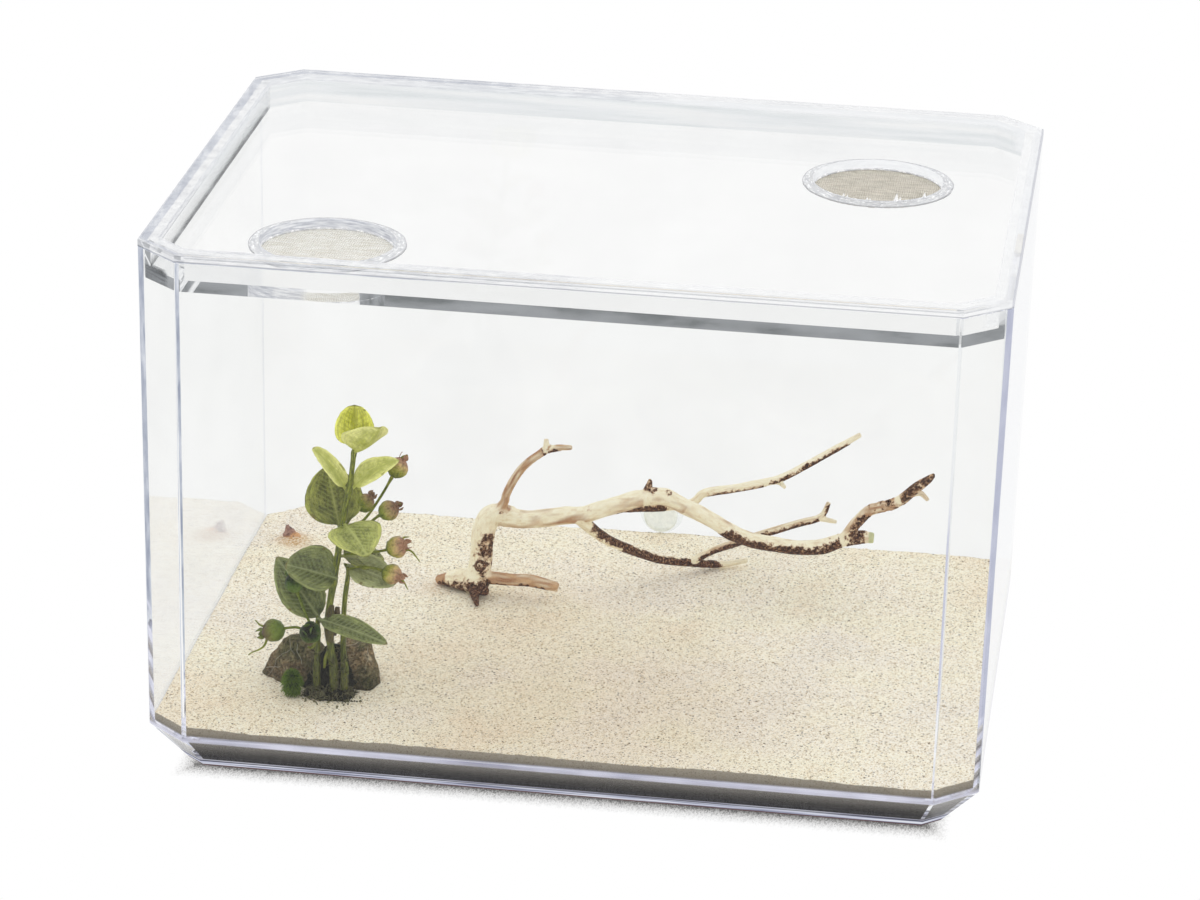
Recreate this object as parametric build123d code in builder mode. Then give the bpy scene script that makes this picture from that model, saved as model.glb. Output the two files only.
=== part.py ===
"""Ant foraging area: a clear lidded tank with a sand floor, a driftwood branch and a plastic plant.

The long side runs along X, the front faces -Y and Z is up.
The origin is the middle of the tank's underside. All sizes are in millimetres.
"""
import os
from math import cos, hypot, radians, sin, tan

from build123d import *

# Tank
tank_length = 300
tank_depth = 220
rim_height = 195
wall = 3
floor_thickness = 3
corner_x = 16
corner_y = 14
wall_draft = 2
band_rise = 15
band_inset = 13
outer_edge_round = 0.8

# Tube port in the back wall
port_diameter = 13.4
port_x = 10
port_edge_above_sand = 0.8

# Lid, a shallow tray that hangs in the rim
flange_thickness = 2.8
lid_seat_gap = 0.2
skirt_clearance = 0.6
skirt_thickness = 3
lid_reach = 11.2
plate_thickness = 3.5
lid_edge_round = 0.5

# Vents in the lid
vent_diameter = 48
vent_from_end = 58
vent_from_side = 55.5
glue_ring_width = 4
glue_ring_thickness = 0.5
mesh_overlap = 3.25
mesh_thickness = 0.4

# Port plug
plug_clearance = 0.08
plug_head_overhang = 1.8
plug_head_thickness = 3
plug_head_gap = 0.3
plug_nose = 1.5
plug_edge = 0.6

# Sand
sand_depth = 16.5
sand_side_gap = 0.2
pocket_gap = 0.4
bedding_depth = 3

# Where the loose things stand, as distances from the outside of the tank
plant_from_left = 62
plant_from_front = 44
branch_tip_from_right = 31.5
branch_from_back = 78
chip_from_left = 20
chip_from_back = 38

# Plant
stem_socket_gap = 0.15
stem_seat = 1.5
leaf_gap = 0.3
leaf_thickness = 0.7
petiole_width = 1.3
bud_stalk = 1.1

inner_side = wall + skirt_clearance
plate_bottom = rim_height - lid_reach
plate_top = plate_bottom + plate_thickness
flange_bottom = rim_height + lid_seat_gap
flange_top = flange_bottom + flange_thickness
sand_top = floor_thickness + sand_depth
port_z = sand_top + port_edge_above_sand + port_diameter / 2

os.makedirs("parts", exist_ok=True)


def save(builder, label):
    """Label a finished piece and write it to its own file."""
    builder.part.label = label
    export_step(builder.part, f"parts/{label}.step")


def lean(height):
    """How far a tank wall has moved in at a height, because of its draft."""
    return wall_draft * (1 - height / rim_height)


def octagon(height, inset):
    """The tank's plan at a height, moved in by inset on all eight sides."""
    half_x = tank_length / 2 - inset
    half_y = tank_depth / 2 - inset
    shrink = inset * (corner_x + corner_y - hypot(corner_x, corner_y))
    leg_x = corner_x - shrink / corner_y
    leg_y = corner_y - shrink / corner_x
    corners = [
        (half_x, half_y - leg_y),
        (half_x - leg_x, half_y),
        (leg_x - half_x, half_y),
        (-half_x, half_y - leg_y),
        (-half_x, leg_y - half_y),
        (leg_x - half_x, -half_y),
        (half_x - leg_x, -half_y),
        (half_x, leg_y - half_y),
    ]
    with BuildSketch(Plane.XY.offset(height)) as plan:
        with BuildLine():
            Polyline(*corners, close=True)
        make_face()
    return plan.sketch


def inner_levels(gap, top):
    """Plans of the tank's inside, kept clear of its walls by gap, from the floor up to top."""
    band_wall = wall * hypot(band_rise, band_inset) / band_rise
    knee = band_rise * (1 + (band_wall - wall) / band_inset)

    def slope_inset(height):
        return lean(band_rise) + band_inset * (1 - height / band_rise) + band_wall

    floor_plan = octagon(floor_thickness, slope_inset(floor_thickness) + gap)
    if top <= knee:
        return [floor_plan, octagon(top, slope_inset(top) + gap)]
    return [
        floor_plan,
        octagon(knee, lean(knee) + wall + gap),
        octagon(top, lean(top) + wall + gap),
    ]


# An edge counts as upright when its direction's rise is more than this
upright = 0.9

# Tank: one clear moulding, open at the top, with a sloped band round its bottom edge
port_wall_y = tank_depth / 2 - lean(port_z)
outer_levels = [
    octagon(0, lean(band_rise) + band_inset),
    octagon(band_rise, lean(band_rise)),
    octagon(rim_height, 0),
]
with BuildPart() as tank:
    loft(outer_levels, ruled=True)
    wall_edges = tank.edges().filter_by(lambda edge: edge.center().Z > band_rise)
    fillet(wall_edges.filter_by(lambda edge: abs(edge.tangent_at(0.5).Z) > upright), outer_edge_round)
    loft(inner_levels(0, rim_height + wall), ruled=True, mode=Mode.SUBTRACT)
    port_plane = Plane((port_x, port_wall_y, port_z), x_dir=(1, 0, 0), z_dir=(0, 1, 0))
    with BuildSketch(port_plane.offset(-2 * wall)):
        Circle(port_diameter / 2)
    extrude(amount=3 * wall, mode=Mode.SUBTRACT)
save(tank, "tank")

# Lid: flange on the rim, skirt inside the walls, plate across the bottom of the skirt
vent_x = tank_length / 2 - vent_from_end
vent_y = tank_depth / 2 - vent_from_side
vents = {"left": (-vent_x, -vent_y), "right": (vent_x, vent_y)}
with BuildPart() as lid:
    add(octagon(flange_bottom, 0))
    extrude(amount=flange_thickness)
    add(octagon(plate_bottom, inner_side))
    extrude(amount=flange_bottom - plate_bottom)
    add(octagon(plate_top, inner_side + skirt_thickness))
    extrude(amount=flange_top - plate_top, mode=Mode.SUBTRACT)
    with BuildSketch(Plane.XY.offset(plate_bottom)):
        with Locations(*vents.values()):
            Circle(vent_diameter / 2)
    extrude(amount=plate_thickness, mode=Mode.SUBTRACT)
    fillet(lid.faces().sort_by(Axis.Z)[-1].outer_wire().edges(), lid_edge_round)
save(lid, "lid")

# Vent screens: a woven disc under each hole, held to the plate by a ring of clear glue
for side, centre in vents.items():
    with BuildPart() as glue_ring:
        with BuildSketch(Plane.XY.offset(plate_bottom - glue_ring_thickness)):
            with Locations(centre):
                Circle(vent_diameter / 2 + glue_ring_width)
                Circle(vent_diameter / 2, mode=Mode.SUBTRACT)
        extrude(amount=glue_ring_thickness)
    save(glue_ring, f"vent_glue_ring_{side}")

    with BuildPart() as vent_mesh:
        with BuildSketch(Plane.XY.offset(plate_bottom - glue_ring_thickness - mesh_thickness)):
            with Locations(centre):
                Circle(vent_diameter / 2 + mesh_overlap)
        extrude(amount=mesh_thickness)
    save(vent_mesh, f"vent_mesh_{side}")

# Port plug: a soft translucent stopper pushed in from behind
plug_head_radius = port_diameter / 2 + plug_head_overhang
nose_y = port_wall_y - wall - plug_nose
head_y = port_wall_y + wall_draft * plug_head_radius / rim_height + plug_head_gap
with BuildPart() as port_plug:
    with BuildSketch(port_plane.offset(nose_y - port_wall_y)):
        Circle(port_diameter / 2 - plug_clearance)
    extrude(amount=head_y - nose_y)
    chamfer(port_plug.faces().sort_by(Axis.Y)[0].edges(), plug_edge)
    with BuildSketch(port_plane.offset(head_y - port_wall_y)):
        Circle(plug_head_radius)
    extrude(amount=plug_head_thickness)
    fillet(port_plug.faces().sort_by(Axis.Y)[-1].edges(), plug_edge)
save(port_plug, "port_plug")

plant_x = plant_from_left - tank_length / 2
plant_y = plant_from_front - tank_depth / 2
chip_x = chip_from_left - tank_length / 2
chip_y = tank_depth / 2 - chip_from_back
bedding_floor = sand_top - bedding_depth


def outline(points, origin, height):
    """A closed outline of hand-set points about an origin, lying flat at a height."""
    with BuildSketch(Plane.XY.offset(height)) as shape:
        with BuildLine():
            Polyline(*[(origin[0] + x, origin[1] + y) for x, y in points], close=True)
        make_face()
    return shape.sketch


def grown(points, origin, height):
    """The same outline, larger by the gap that a pocket in the sand leaves."""
    with BuildSketch(Plane.XY.offset(height)) as shape:
        with BuildLine():
            Polyline(*[(origin[0] + x, origin[1] + y) for x, y in points], close=True)
        make_face()
        offset(amount=pocket_gap, kind=Kind.INTERSECTION)
    return shape.sketch


# A route that climbs more steeply than this is squared to Y, and a flatter one to Z
steep = 0.8


def across(route, origin):
    """Circles across a route of (x, y, height above the sand, diameter) points about an origin."""
    points = [Vector(origin[0] + x, origin[1] + y, sand_top + z) for x, y, z, _ in route]
    circles = []
    for index, point in enumerate(points):
        before = points[max(index - 1, 0)]
        after = points[min(index + 1, len(points) - 1)]
        ahead = (after - before).normalized()
        reference = Vector(0, 0, 1) if abs(ahead.Z) < steep else Vector(0, 1, 0)
        with BuildSketch(Plane(point, x_dir=ahead.cross(reference), z_dir=ahead)) as section:
            Circle(route[index][3] / 2)
        circles.append(section.sketch)
    return circles


# Outlines of what is bedded in the sand, about the plant's or the chip's own place
left_rock_foot = [(-28, 12), (-18, 3), (-7, 2), (-2, 8), (-5, 22), (-20, 24)]
left_rock_waist = [(-25, 13), (-17, 5), (-7, 4), (-2, 9), (-5, 20), (-19, 21)]
left_rock_crown = [(-19, 13), (-14, 10), (-9, 9), (-6, 12), (-8, 16), (-15, 17)]
right_rock_foot = [(-4, 6), (6, 1), (15, 2), (17, 10), (13, 21), (-2, 22)]
right_rock_waist = [(-3, 7), (6, 3), (14, 4), (15.5, 11), (12, 19), (-2, 20)]
right_rock_crown = [(0, 9), (6, 8), (11, 8.5), (12.5, 13), (8, 17), (1, 16)]
clump_foot = [(-9.5, -6.5), (-2, -9), (8, -8.5), (10.5, -3.5), (7, 0.2), (-8, 0.8)]
clump_crown = [(-7.5, -5.8), (-2, -7.6), (7, -7.2), (8.5, -3.5), (6, -1.6), (-7, -1.5)]
chip_foot = [(-4, -1.5), (0, -2.5), (4, -1), (3, 2), (-3, 2.5)]
chip_crown = [(-3.4, -0.6), (-2.4, -0.8), (-1.8, -0.4), (-2, 0.3), (-3, 0.4)]
rock_waist = 7
rock_top = 15
clump_top = 6
chip_top = 5.5
plant_place = (plant_x, plant_y)
chip_place = (chip_x, chip_y)

# Sand bed: fills the bottom of the tank, with a pocket under each thing bedded in it
with BuildPart() as sand_bed:
    loft(inner_levels(sand_side_gap, sand_top), ruled=True)
    for foot in (left_rock_foot, right_rock_foot, clump_foot):
        add(grown(foot, plant_place, bedding_floor))
        extrude(amount=2 * bedding_depth, mode=Mode.SUBTRACT)
    add(grown(chip_foot, chip_place, bedding_floor))
    extrude(amount=2 * bedding_depth, mode=Mode.SUBTRACT)
save(sand_bed, "sand_bed")

# Bark chip: a splinter of brown bark half buried near the back left corner
with BuildPart() as bark_chip:
    add(outline(chip_foot, chip_place, bedding_floor))
    extrude(amount=bedding_depth)
    loft([outline(chip_foot, chip_place, sand_top), outline(chip_crown, chip_place, sand_top + chip_top)])
save(bark_chip, "bark_chip")

# Plant rock: two joined lumps behind the stems
rock_lobes = [
    (left_rock_foot, left_rock_waist, left_rock_crown),
    (right_rock_foot, right_rock_waist, right_rock_crown),
]
with BuildPart() as plant_rock:
    for foot, waist, crown in rock_lobes:
        add(outline(foot, plant_place, bedding_floor))
        extrude(amount=bedding_depth)
        sides = [
            outline(foot, plant_place, sand_top),
            outline(waist, plant_place, sand_top + rock_waist),
            outline(crown, plant_place, sand_top + rock_top),
        ]
        loft(sides, ruled=True)
save(plant_rock, "plant_rock")

# Stems, each as points from its foot up: x, y, height above the sand, diameter
main_stem = [
    (2.2, -4.4, stem_seat, 2.9),
    (2.2, -4.4, 10, 2.9),
    (0.8, -4, 20, 2.8),
    (-0.5, -2, 30, 2.7),
    (1.5, 2, 48.5, 2.6),
    (3.5, 3.5, 64.5, 2.4),
    (6, 4, 79.5, 2.1),
    (7.5, 4, 91.5, 1.8),
]
second_stem = [
    (5.9, -4.2, stem_seat, 2.3),
    (5.9, -4.2, 10, 2.3),
    (4.6, 0, 22, 2.1),
    (4.2, 4.5, 34, 2),
    (5.2, 6, 46, 1.7),
]
third_stem = [
    (-4.2, -4.2, stem_seat, 2.2),
    (-4.2, -4.2, 10, 2.2),
    (-4, -3.5, 20, 2),
    (-4.5, -1.5, 30.5, 1.6),
]
stems = {"stem_main": main_stem, "stem_second": second_stem, "stem_third": third_stem}

# Plant base: a dark mossy clump with a socket for each stem
with BuildPart() as plant_base:
    add(outline(clump_foot, plant_place, bedding_floor))
    extrude(amount=bedding_depth)
    clump_sides = [
        outline(clump_foot, plant_place, sand_top),
        outline(clump_crown, plant_place, sand_top + clump_top),
    ]
    loft(clump_sides, ruled=True)
    for foot_x, foot_y, foot_z, diameter in [route[0] for route in stems.values()]:
        with BuildSketch(Plane.XY.offset(sand_top + foot_z)):
            with Locations((plant_x + foot_x, plant_y + foot_y)):
                Circle(diameter / 2 + stem_socket_gap)
        extrude(amount=clump_top, mode=Mode.SUBTRACT)
save(plant_base, "plant_base")

for label, route in stems.items():
    with BuildPart() as stem:
        loft(across(route, plant_place), ruled=True)
    save(stem, label)

# Moss tuft: a soft green lump beside the clump
moss_route = [
    (-13, -6, 0.4, 4),
    (-13, -6, 3, 6.2),
    (-12.8, -6, 6, 6.4),
    (-12.6, -6, 9, 5),
    (-12.5, -6, 11, 2),
]
with BuildPart() as moss_tuft:
    loft(across(moss_route, plant_place), ruled=True)
save(moss_tuft, "moss_tuft")


def heading(azimuth, elevation):
    """Unit vector from a compass angle about Z, counted from +X, and an angle above level."""
    turn = radians(azimuth)
    rise = radians(elevation)
    return Vector(cos(rise) * cos(turn), cos(rise) * sin(turn), sin(rise))


def stem_surface(route, height, direction):
    """The point just outside a stem at a height above the sand, on the side a leaf leaves from."""
    for low, high in zip(route, route[1:]):
        if low[2] <= height <= high[2]:
            share = (height - low[2]) / (high[2] - low[2])
            x, y, _, diameter = [a + (b - a) * share for a, b in zip(low, high)]
    level = Vector(direction.X, direction.Y, 0).normalized()
    centre = Vector(plant_x + x, plant_y + y, sand_top + height)
    return centre + level * (diameter / 2 + leaf_gap + leaf_thickness * abs(direction.Z))


# A leaf's width along its length, as shares of the length and of the full width
leaf_shape = [(0.3, 0.72), (0.48, 1), (0.66, 0.93), (0.82, 0.62), (0.93, 0.3), (1, 0.06)]
petiole_share = 0.14


def leaf_sections(start, along, facing, length, width, droop, fold):
    """Thin folded profiles from a leaf's stalk to its tip.

    along is the way the leaf leaves the stem, and facing is where its upper side looks.
    droop is the angle that its tip bends back, and fold is how far its halves rise.
    """
    normal = (facing - along * facing.dot(along)).normalized()
    side = normal.cross(along)
    stations = [(0, petiole_width), (petiole_share, petiole_width)]
    stations += [(share, width * wide) for share, wide in leaf_shape]
    sections = []
    point = start
    before = 0
    for share, wide in stations:
        middle = radians(droop) * (share + before) / 2
        point = point + (along * cos(middle) - normal * sin(middle)) * length * (share - before)
        before = share
        bend = radians(droop) * share
        ahead = along * cos(bend) - normal * sin(bend)
        half = wide / 2
        lift = half * tan(radians(fold))
        with BuildSketch(Plane(point, x_dir=side, z_dir=ahead)) as section:
            with BuildLine():
                Polyline(
                    (-half, lift),
                    (0, 0),
                    (half, lift),
                    (half, lift + leaf_thickness),
                    (0, leaf_thickness),
                    (-half, lift + leaf_thickness),
                    close=True,
                )
            make_face()
        sections.append(section.sketch)
    return sections


# Leaves: stem, height above the sand, way out and way its top faces as (azimuth, elevation),
# then length, width, droop and fold
leaves = {
    "leaf_crown_back": (main_stem, 91, (100, 76), (-80, 20), 18, 14, -15, 18),
    "leaf_crown_front": (main_stem, 90, (-42, 34), (110, 55), 18, 14, -25, 20),
    "leaf_upper_left": (main_stem, 77.5, (162, 54), (-30, 30), 18.5, 9, 20, 18),
    "leaf_upper_right": (main_stem, 78.5, (-8, 48), (-110, 45), 19.5, 10, 50, 18),
    "leaf_large_left": (main_stem, 62, (122, 56), (-75, 30), 23, 21, 10, 10),
    "leaf_middle_right": (main_stem, 65, (-52, -5), (-80, 75), 18, 20, 30, 12),
    "leaf_middle_back": (main_stem, 52, (54, -6), (-90, 75), 19, 13, 15, 12),
    "leaf_lower_right": (second_stem, 45.8, (-14, -2), (-90, 60), 18, 9, 22, 15),
    "leaf_middle_left": (main_stem, 44, (-166, 18), (-80, 50), 15.5, 17, 10, 22),
    "leaf_lower_left": (third_stem, 28, (140, 38), (-70, 25), 28, 16, 5, 12),
    "leaf_low_right": (main_stem, 27, (-24, 2), (-80, 60), 23.5, 9, 12, 15),
}
for label, (route, height, way, faces, length, width, droop, fold) in leaves.items():
    along = heading(*way)
    start = stem_surface(route, height, along)
    with BuildPart() as leaf:
        loft(leaf_sections(start, along, heading(*faces), length, width, droop, fold), ruled=True)
    save(leaf, label)


# A bud's width along its length, both as shares of its diameter from its middle
bud_swell = [(-0.5, 0.3), (-0.36, 0.72), (-0.1, 1), (0.15, 0.97), (0.38, 0.66), (0.5, 0.25)]


def bud_route(stalk, diameter):
    """A thin stalk through the given points, ending in a round bud centred on the last one."""
    tail = Vector(*stalk[-2])
    centre = Vector(*stalk[-1])
    ahead = (centre - tail).normalized()
    route = [(*point, bud_stalk) for point in stalk[:-1]]
    for along, wide in bud_swell:
        point = centre + ahead * along * diameter
        route.append((point.X, point.Y, point.Z, wide * diameter))
    return route


# Flower buds: points of the stalk about the plant's place, height above the sand, and the bud's diameter
buds = {
    "bud_upper_back": ([(4.4, 4.7, 60.5), (11, 6.5, 66), (16.5, 8.5, 74.5), (21.5, 13, 84)], 6.6),
    "bud_upper_middle": ([(2.6, 5.3, 60), (5.5, 9.5, 65), (9.8, 13, 69.5)], 6),
    "bud_upper_right": ([(5.1, 3.2, 59), (12, 4.5, 64.5), (16, 5, 68), (20, 5, 70.5)], 6.6),
    "bud_middle_right": ([(4.1, 3.4, 53), (12, 5, 53.5), (18, 3.5, 55.5), (23.5, 2, 58)], 7),
    "bud_left_back": ([(-6, -3.6, 26.5), (-8.5, -2.5, 31), (-11, -1, 36), (-13.5, 0.5, 41.5)], 6.2),
    "bud_low_left": ([(-6, -3.3, 23), (-11, -2.5, 25.5), (-15, -2, 25), (-20.5, -2, 23.3)], 7.4),
    "bud_low_front": ([(-4.6, -5.4, 22.5), (-5, -6.2, 24.8), (-5.4, -9.5, 27.3)], 7),
    "bud_lower_right": ([(5.2, 4, 47), (10, 2.5, 49), (16, 0.5, 49.8), (22.4, -1, 48.6)], 6.6),
}
for label, (stalk, diameter) in buds.items():
    with BuildPart() as bud:
        loft(across(bud_route(stalk, diameter), plant_place), ruled=True)
    save(bud, label)

# Driftwood limbs, as points about the foot of the branch: x, y, height above the sand, diameter
trunk = [
    (-1, 0, 3.5, 9),
    (0, 1, 9.5, 8.6),
    (0.3, 2, 19, 8.3),
    (1.5, 3, 27, 8.4),
    (4.5, 4, 31.5, 8),
    (12, 5, 31, 7),
]
left_root = [(0, 0.5, 4.6, 8), (-7, 2, 4.5, 6), (-17, 6, 2, 3)]
front_root = [(-0.5, 0, 4, 7), (-0.5, -6, 2.6, 4), (1, -12, 1.4, 2)]
right_root = [(-0.5, 0, 4, 7), (2, -5, 2.8, 4.4), (5, -9, 2.2, 3)]
side_stub = [(0, 0, 7.5, 5), (11, -2, 8, 4.4), (21, -4, 9, 4.2), (31, -6, 8, 3.6)]
main_limb = [
    (4.5, 4, 31.5, 7.6),
    (15.5, 5, 30, 6.8),
    (29, 6, 32, 6.4),
    (38, 7, 33, 6.2),
    (49, 8, 37, 6.2),
    (59, 9, 40.2, 6.4),
    (67, 10, 41.5, 6.6),
    (75, 11, 38.5, 6),
    (87, 12, 32.3, 5.8),
    (94, 13, 28, 5.6),
    (102, 14, 25, 5.5),
    (113, 15, 23.3, 5.3),
    (126, 16, 23.2, 5.3),
    (135, 17, 26.2, 5),
    (142, 18, 28, 4.6),
    (147.5, 18, 28, 4),
]
top_twig = [
    (5, 4, 31, 4),
    (8.5, 3.5, 37, 3.1),
    (9.5, 3, 41, 3),
    (15, 0, 52, 3),
    (22, -2, 59.5, 2.8),
    (26, -3, 63, 2.9),
]
top_twig_end = [(25, -2.8, 62.2, 2.6), (30, -3.5, 63.6, 2.2), (35, -4, 64.2, 1.8)]
top_twig_nub = [(25, -3, 62.4, 2.4), (25, -3, 66.5, 1.6)]
spike = [(62, 9, 40.5, 4.4), (62.5, 9, 45, 2.6), (63.2, 9, 48.8, 0.9)]
rising_limb = [
    (136, 17, 26.4, 4.4),
    (141, 16, 35, 3.9),
    (146, 14, 41, 3.9),
    (154, 12, 44.7, 3.8),
    (158, 11, 47.6, 3.7),
    (163, 9, 53.5, 3.3),
    (168.5, 8, 58.4, 2.4),
]
rising_twig = [(157, 11, 47.2, 2.6), (163.5, 13, 49.8, 2.2), (167.5, 14, 46.5, 1.4)]
rear_limb = [
    (50, 9, 36.6, 4),
    (64, 16, 34.6, 3.2),
    (77, 22, 34.6, 3),
    (82.5, 24, 38.8, 3),
    (95, 29, 40, 3),
    (109, 34, 42.6, 2.8),
    (120, 38, 48.2, 2.6),
    (130, 41, 54, 2.4),
    (139, 43, 59.6, 1.9),
]
rear_twig = [(104, 32, 41.6, 2.2), (109, 34.5, 41, 1.9), (112, 32, 40, 1.4)]
lower_limb = [
    (37, 7, 31.5, 5.2),
    (40, 9, 27.5, 4.4),
    (46, 14, 20.7, 3.6),
    (56, 21, 13.8, 3.2),
    (65.5, 30, 7.4, 3),
    (78, 38.5, 3.4, 2.8),
    (88, 43.5, 1.5, 2.4),
    (97.5, 46, 3, 1.8),
]
lower_twig = [
    (76, 37.5, 3.8, 2.6),
    (84.5, 37.5, 9.5, 2.6),
    (94, 36, 14.3, 2.7),
    (104, 38, 18, 2.7),
    (117, 40, 22.5, 2.6),
    (125, 42, 25, 2.2),
    (128, 43, 31, 1.5),
]
lower_twig_end = [(123.5, 41.8, 24.6, 2.2), (131.5, 42, 23.4, 1.5)]
limbs = [
    trunk,
    left_root,
    front_root,
    right_root,
    side_stub,
    main_limb,
    top_twig,
    top_twig_end,
    top_twig_nub,
    spike,
    rising_limb,
    rising_twig,
    rear_limb,
    rear_twig,
    lower_limb,
    lower_twig,
    lower_twig_end,
]

# Driftwood: one natural branch standing on its roots and on the tip of its lowest limb
branch_reach = max(x for route in limbs for x, _, _, _ in route)
branch_x = tank_length / 2 - branch_tip_from_right - branch_reach
branch_y = tank_depth / 2 - branch_from_back
with BuildPart() as driftwood:
    for route in limbs:
        loft(across(route, (branch_x, branch_y)), ruled=True)
save(driftwood, "driftwood")
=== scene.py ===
"""Looks of the ant foraging area: a clear lidded tank, sand, a driftwood branch and a plastic plant.

Shapes are worked out in millimetres in the frame's own axes, and Shape.make turns them into metres.
Places in materials are in metres.
"""
import math

import bmesh
import bpy
import numpy as np
from mathutils import Matrix, Vector, geometry, noise
from mathutils.kdtree import KDTree


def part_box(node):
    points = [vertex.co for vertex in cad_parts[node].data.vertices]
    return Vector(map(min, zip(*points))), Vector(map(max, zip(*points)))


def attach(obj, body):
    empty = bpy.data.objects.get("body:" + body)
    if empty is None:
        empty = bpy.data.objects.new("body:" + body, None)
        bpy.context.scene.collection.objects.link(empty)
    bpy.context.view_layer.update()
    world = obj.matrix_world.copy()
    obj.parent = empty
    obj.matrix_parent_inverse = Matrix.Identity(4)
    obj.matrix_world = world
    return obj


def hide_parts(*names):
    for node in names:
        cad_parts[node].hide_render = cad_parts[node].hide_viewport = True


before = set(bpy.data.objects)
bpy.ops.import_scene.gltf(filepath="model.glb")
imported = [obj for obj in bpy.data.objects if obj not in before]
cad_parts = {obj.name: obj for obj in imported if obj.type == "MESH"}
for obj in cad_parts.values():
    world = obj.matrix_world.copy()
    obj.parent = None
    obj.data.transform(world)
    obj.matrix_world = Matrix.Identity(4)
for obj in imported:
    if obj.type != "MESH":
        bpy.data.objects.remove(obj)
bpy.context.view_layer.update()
mm = 0.001
draw = np.random.default_rng(7)
scene = bpy.context.scene

# Camera, fitted to the corners of the tank in the photograph
camera_place = Vector((0.20185, -1.53844, 0.71154))
camera_azimuth = math.radians(7.514)
camera_elevation = math.radians(21.689)
camera_roll = math.radians(1.53)
focal_length = 136.86
sensor_width = 36

# Light
world_strength = 1.08
darkest_reflection = 0.25
softbox_power = 1.2
softbox_size = 2.2
softbox_place = Vector((-0.3, 0.2, 1.4))

# Floor
floor_reach = 6
footprint = (0.13, 0.095)
shadow_reach = 0.0125
shadow_share = 0.03
shadow_curve = 0.7

# Where the loose things stand. The sides of the sand bend at the height of its knee.
sand_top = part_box("sand_bed")[1].z / mm
sand_knee = 16.12
sand_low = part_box("sand_bed")[0].z / mm
plant_place = np.array((-88, -66, sand_top))
branch_place = np.array((-50, 32, sand_top))


def place_in_scene(name, data):
    made = bpy.data.objects.new(name, data)
    scene.collection.objects.link(made)
    return made


def add_camera():
    """The camera stands where the photograph was taken from."""
    back = Vector((
        math.sin(camera_azimuth) * math.cos(camera_elevation),
        -math.cos(camera_azimuth) * math.cos(camera_elevation),
        math.sin(camera_elevation),
    ))
    level = (-back).cross(Vector((0, 0, 1))).normalized()
    above = level.cross(-back)
    right = level * math.cos(camera_roll) + above * math.sin(camera_roll)
    up = above * math.cos(camera_roll) - level * math.sin(camera_roll)
    camera = place_in_scene("camera", bpy.data.cameras.new("camera"))
    camera.data.lens = focal_length
    camera.data.sensor_width = sensor_width
    camera.matrix_world = Matrix.Translation(camera_place) @ Matrix((right, up, back)).transposed().to_4x4()
    scene.camera = camera


# Node helpers


def shade(*values):
    """A linear colour from one grey, from a colour as it looks on screen in 0 to 255, or as it is."""
    if len(values) == 1:
        return (*values * 3, 1)
    if len(values) == 4:
        return values
    shares = [value / 255 for value in values]
    return (*[s / 12.92 if s < 0.04 else ((s + 0.055) / 1.055) ** 2.4 for s in shares], 1)


class Term:
    """An output of a node. Arithmetic on it and its methods add the nodes that they need."""

    def __init__(self, tree, socket):
        self.tree = tree
        self.socket = socket

    def maths(self, operation, *inputs):
        return self.tree.add("Math", *inputs, settings={"operation": operation})

    def __add__(self, other):
        return self.maths("ADD", self, other)

    def __sub__(self, other):
        return self.maths("SUBTRACT", self, other)

    def __rsub__(self, other):
        return self.maths("SUBTRACT", other, self)

    def __mul__(self, other):
        return self.maths("MULTIPLY", self, other)

    def highest(self, other):
        return self.maths("MAXIMUM", self, other)

    def rise(self, start, end, least=0.0, most=1.0):
        """least before start, most past end and even between. The end may be the lower one."""
        return self.tree.add("MapRange", self, start, end, least, most)

    def ramp(self, *stops):
        """A colour or value that follows this through stops, each a position and what shade takes."""
        made = self.tree.nodes.new("ShaderNodeValToRGB")
        self.tree.links.new(self.socket, made.inputs[0])
        marks = made.color_ramp.elements
        while len(marks) < len(stops):
            marks.new(0.5)
        for mark, (position, *tone) in zip(marks, stops):
            mark.position = position
            mark.color = shade(*tone)
        return Term(self.tree, made.outputs[0])

    def toward(self, other, share):
        """This colour mixed with another by a share."""
        return self.tree.mix(share, self, other)

    def tinted(self, other, share=1.0):
        """This colour multiplied by another, by a share."""
        return self.tree.mix(share, self, other, "MULTIPLY")

    def grain(self, scale, detail=4.0, roughness=0.6):
        """Smooth noise between 0 and 1 at these coordinates."""
        return self.tree.add("TexNoise", Vector=self, Scale=scale, Detail=detail, Roughness=roughness)

    def cells(self, scale, out="Distance"):
        """Cells of about 1 / scale. Their colour is random, and their distance grows from the middle."""
        return self.tree.add("TexVoronoi", Vector=self, Scale=scale, out=out)

    def stretched(self, *scale, turn=0.0):
        return self.tree.add("Mapping", Vector=self, Rotation=(0, 0, turn), Scale=scale)

    def bump(self, strength, distance):
        return self.tree.add("Bump", Height=self, Strength=strength, Distance=distance)


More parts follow.
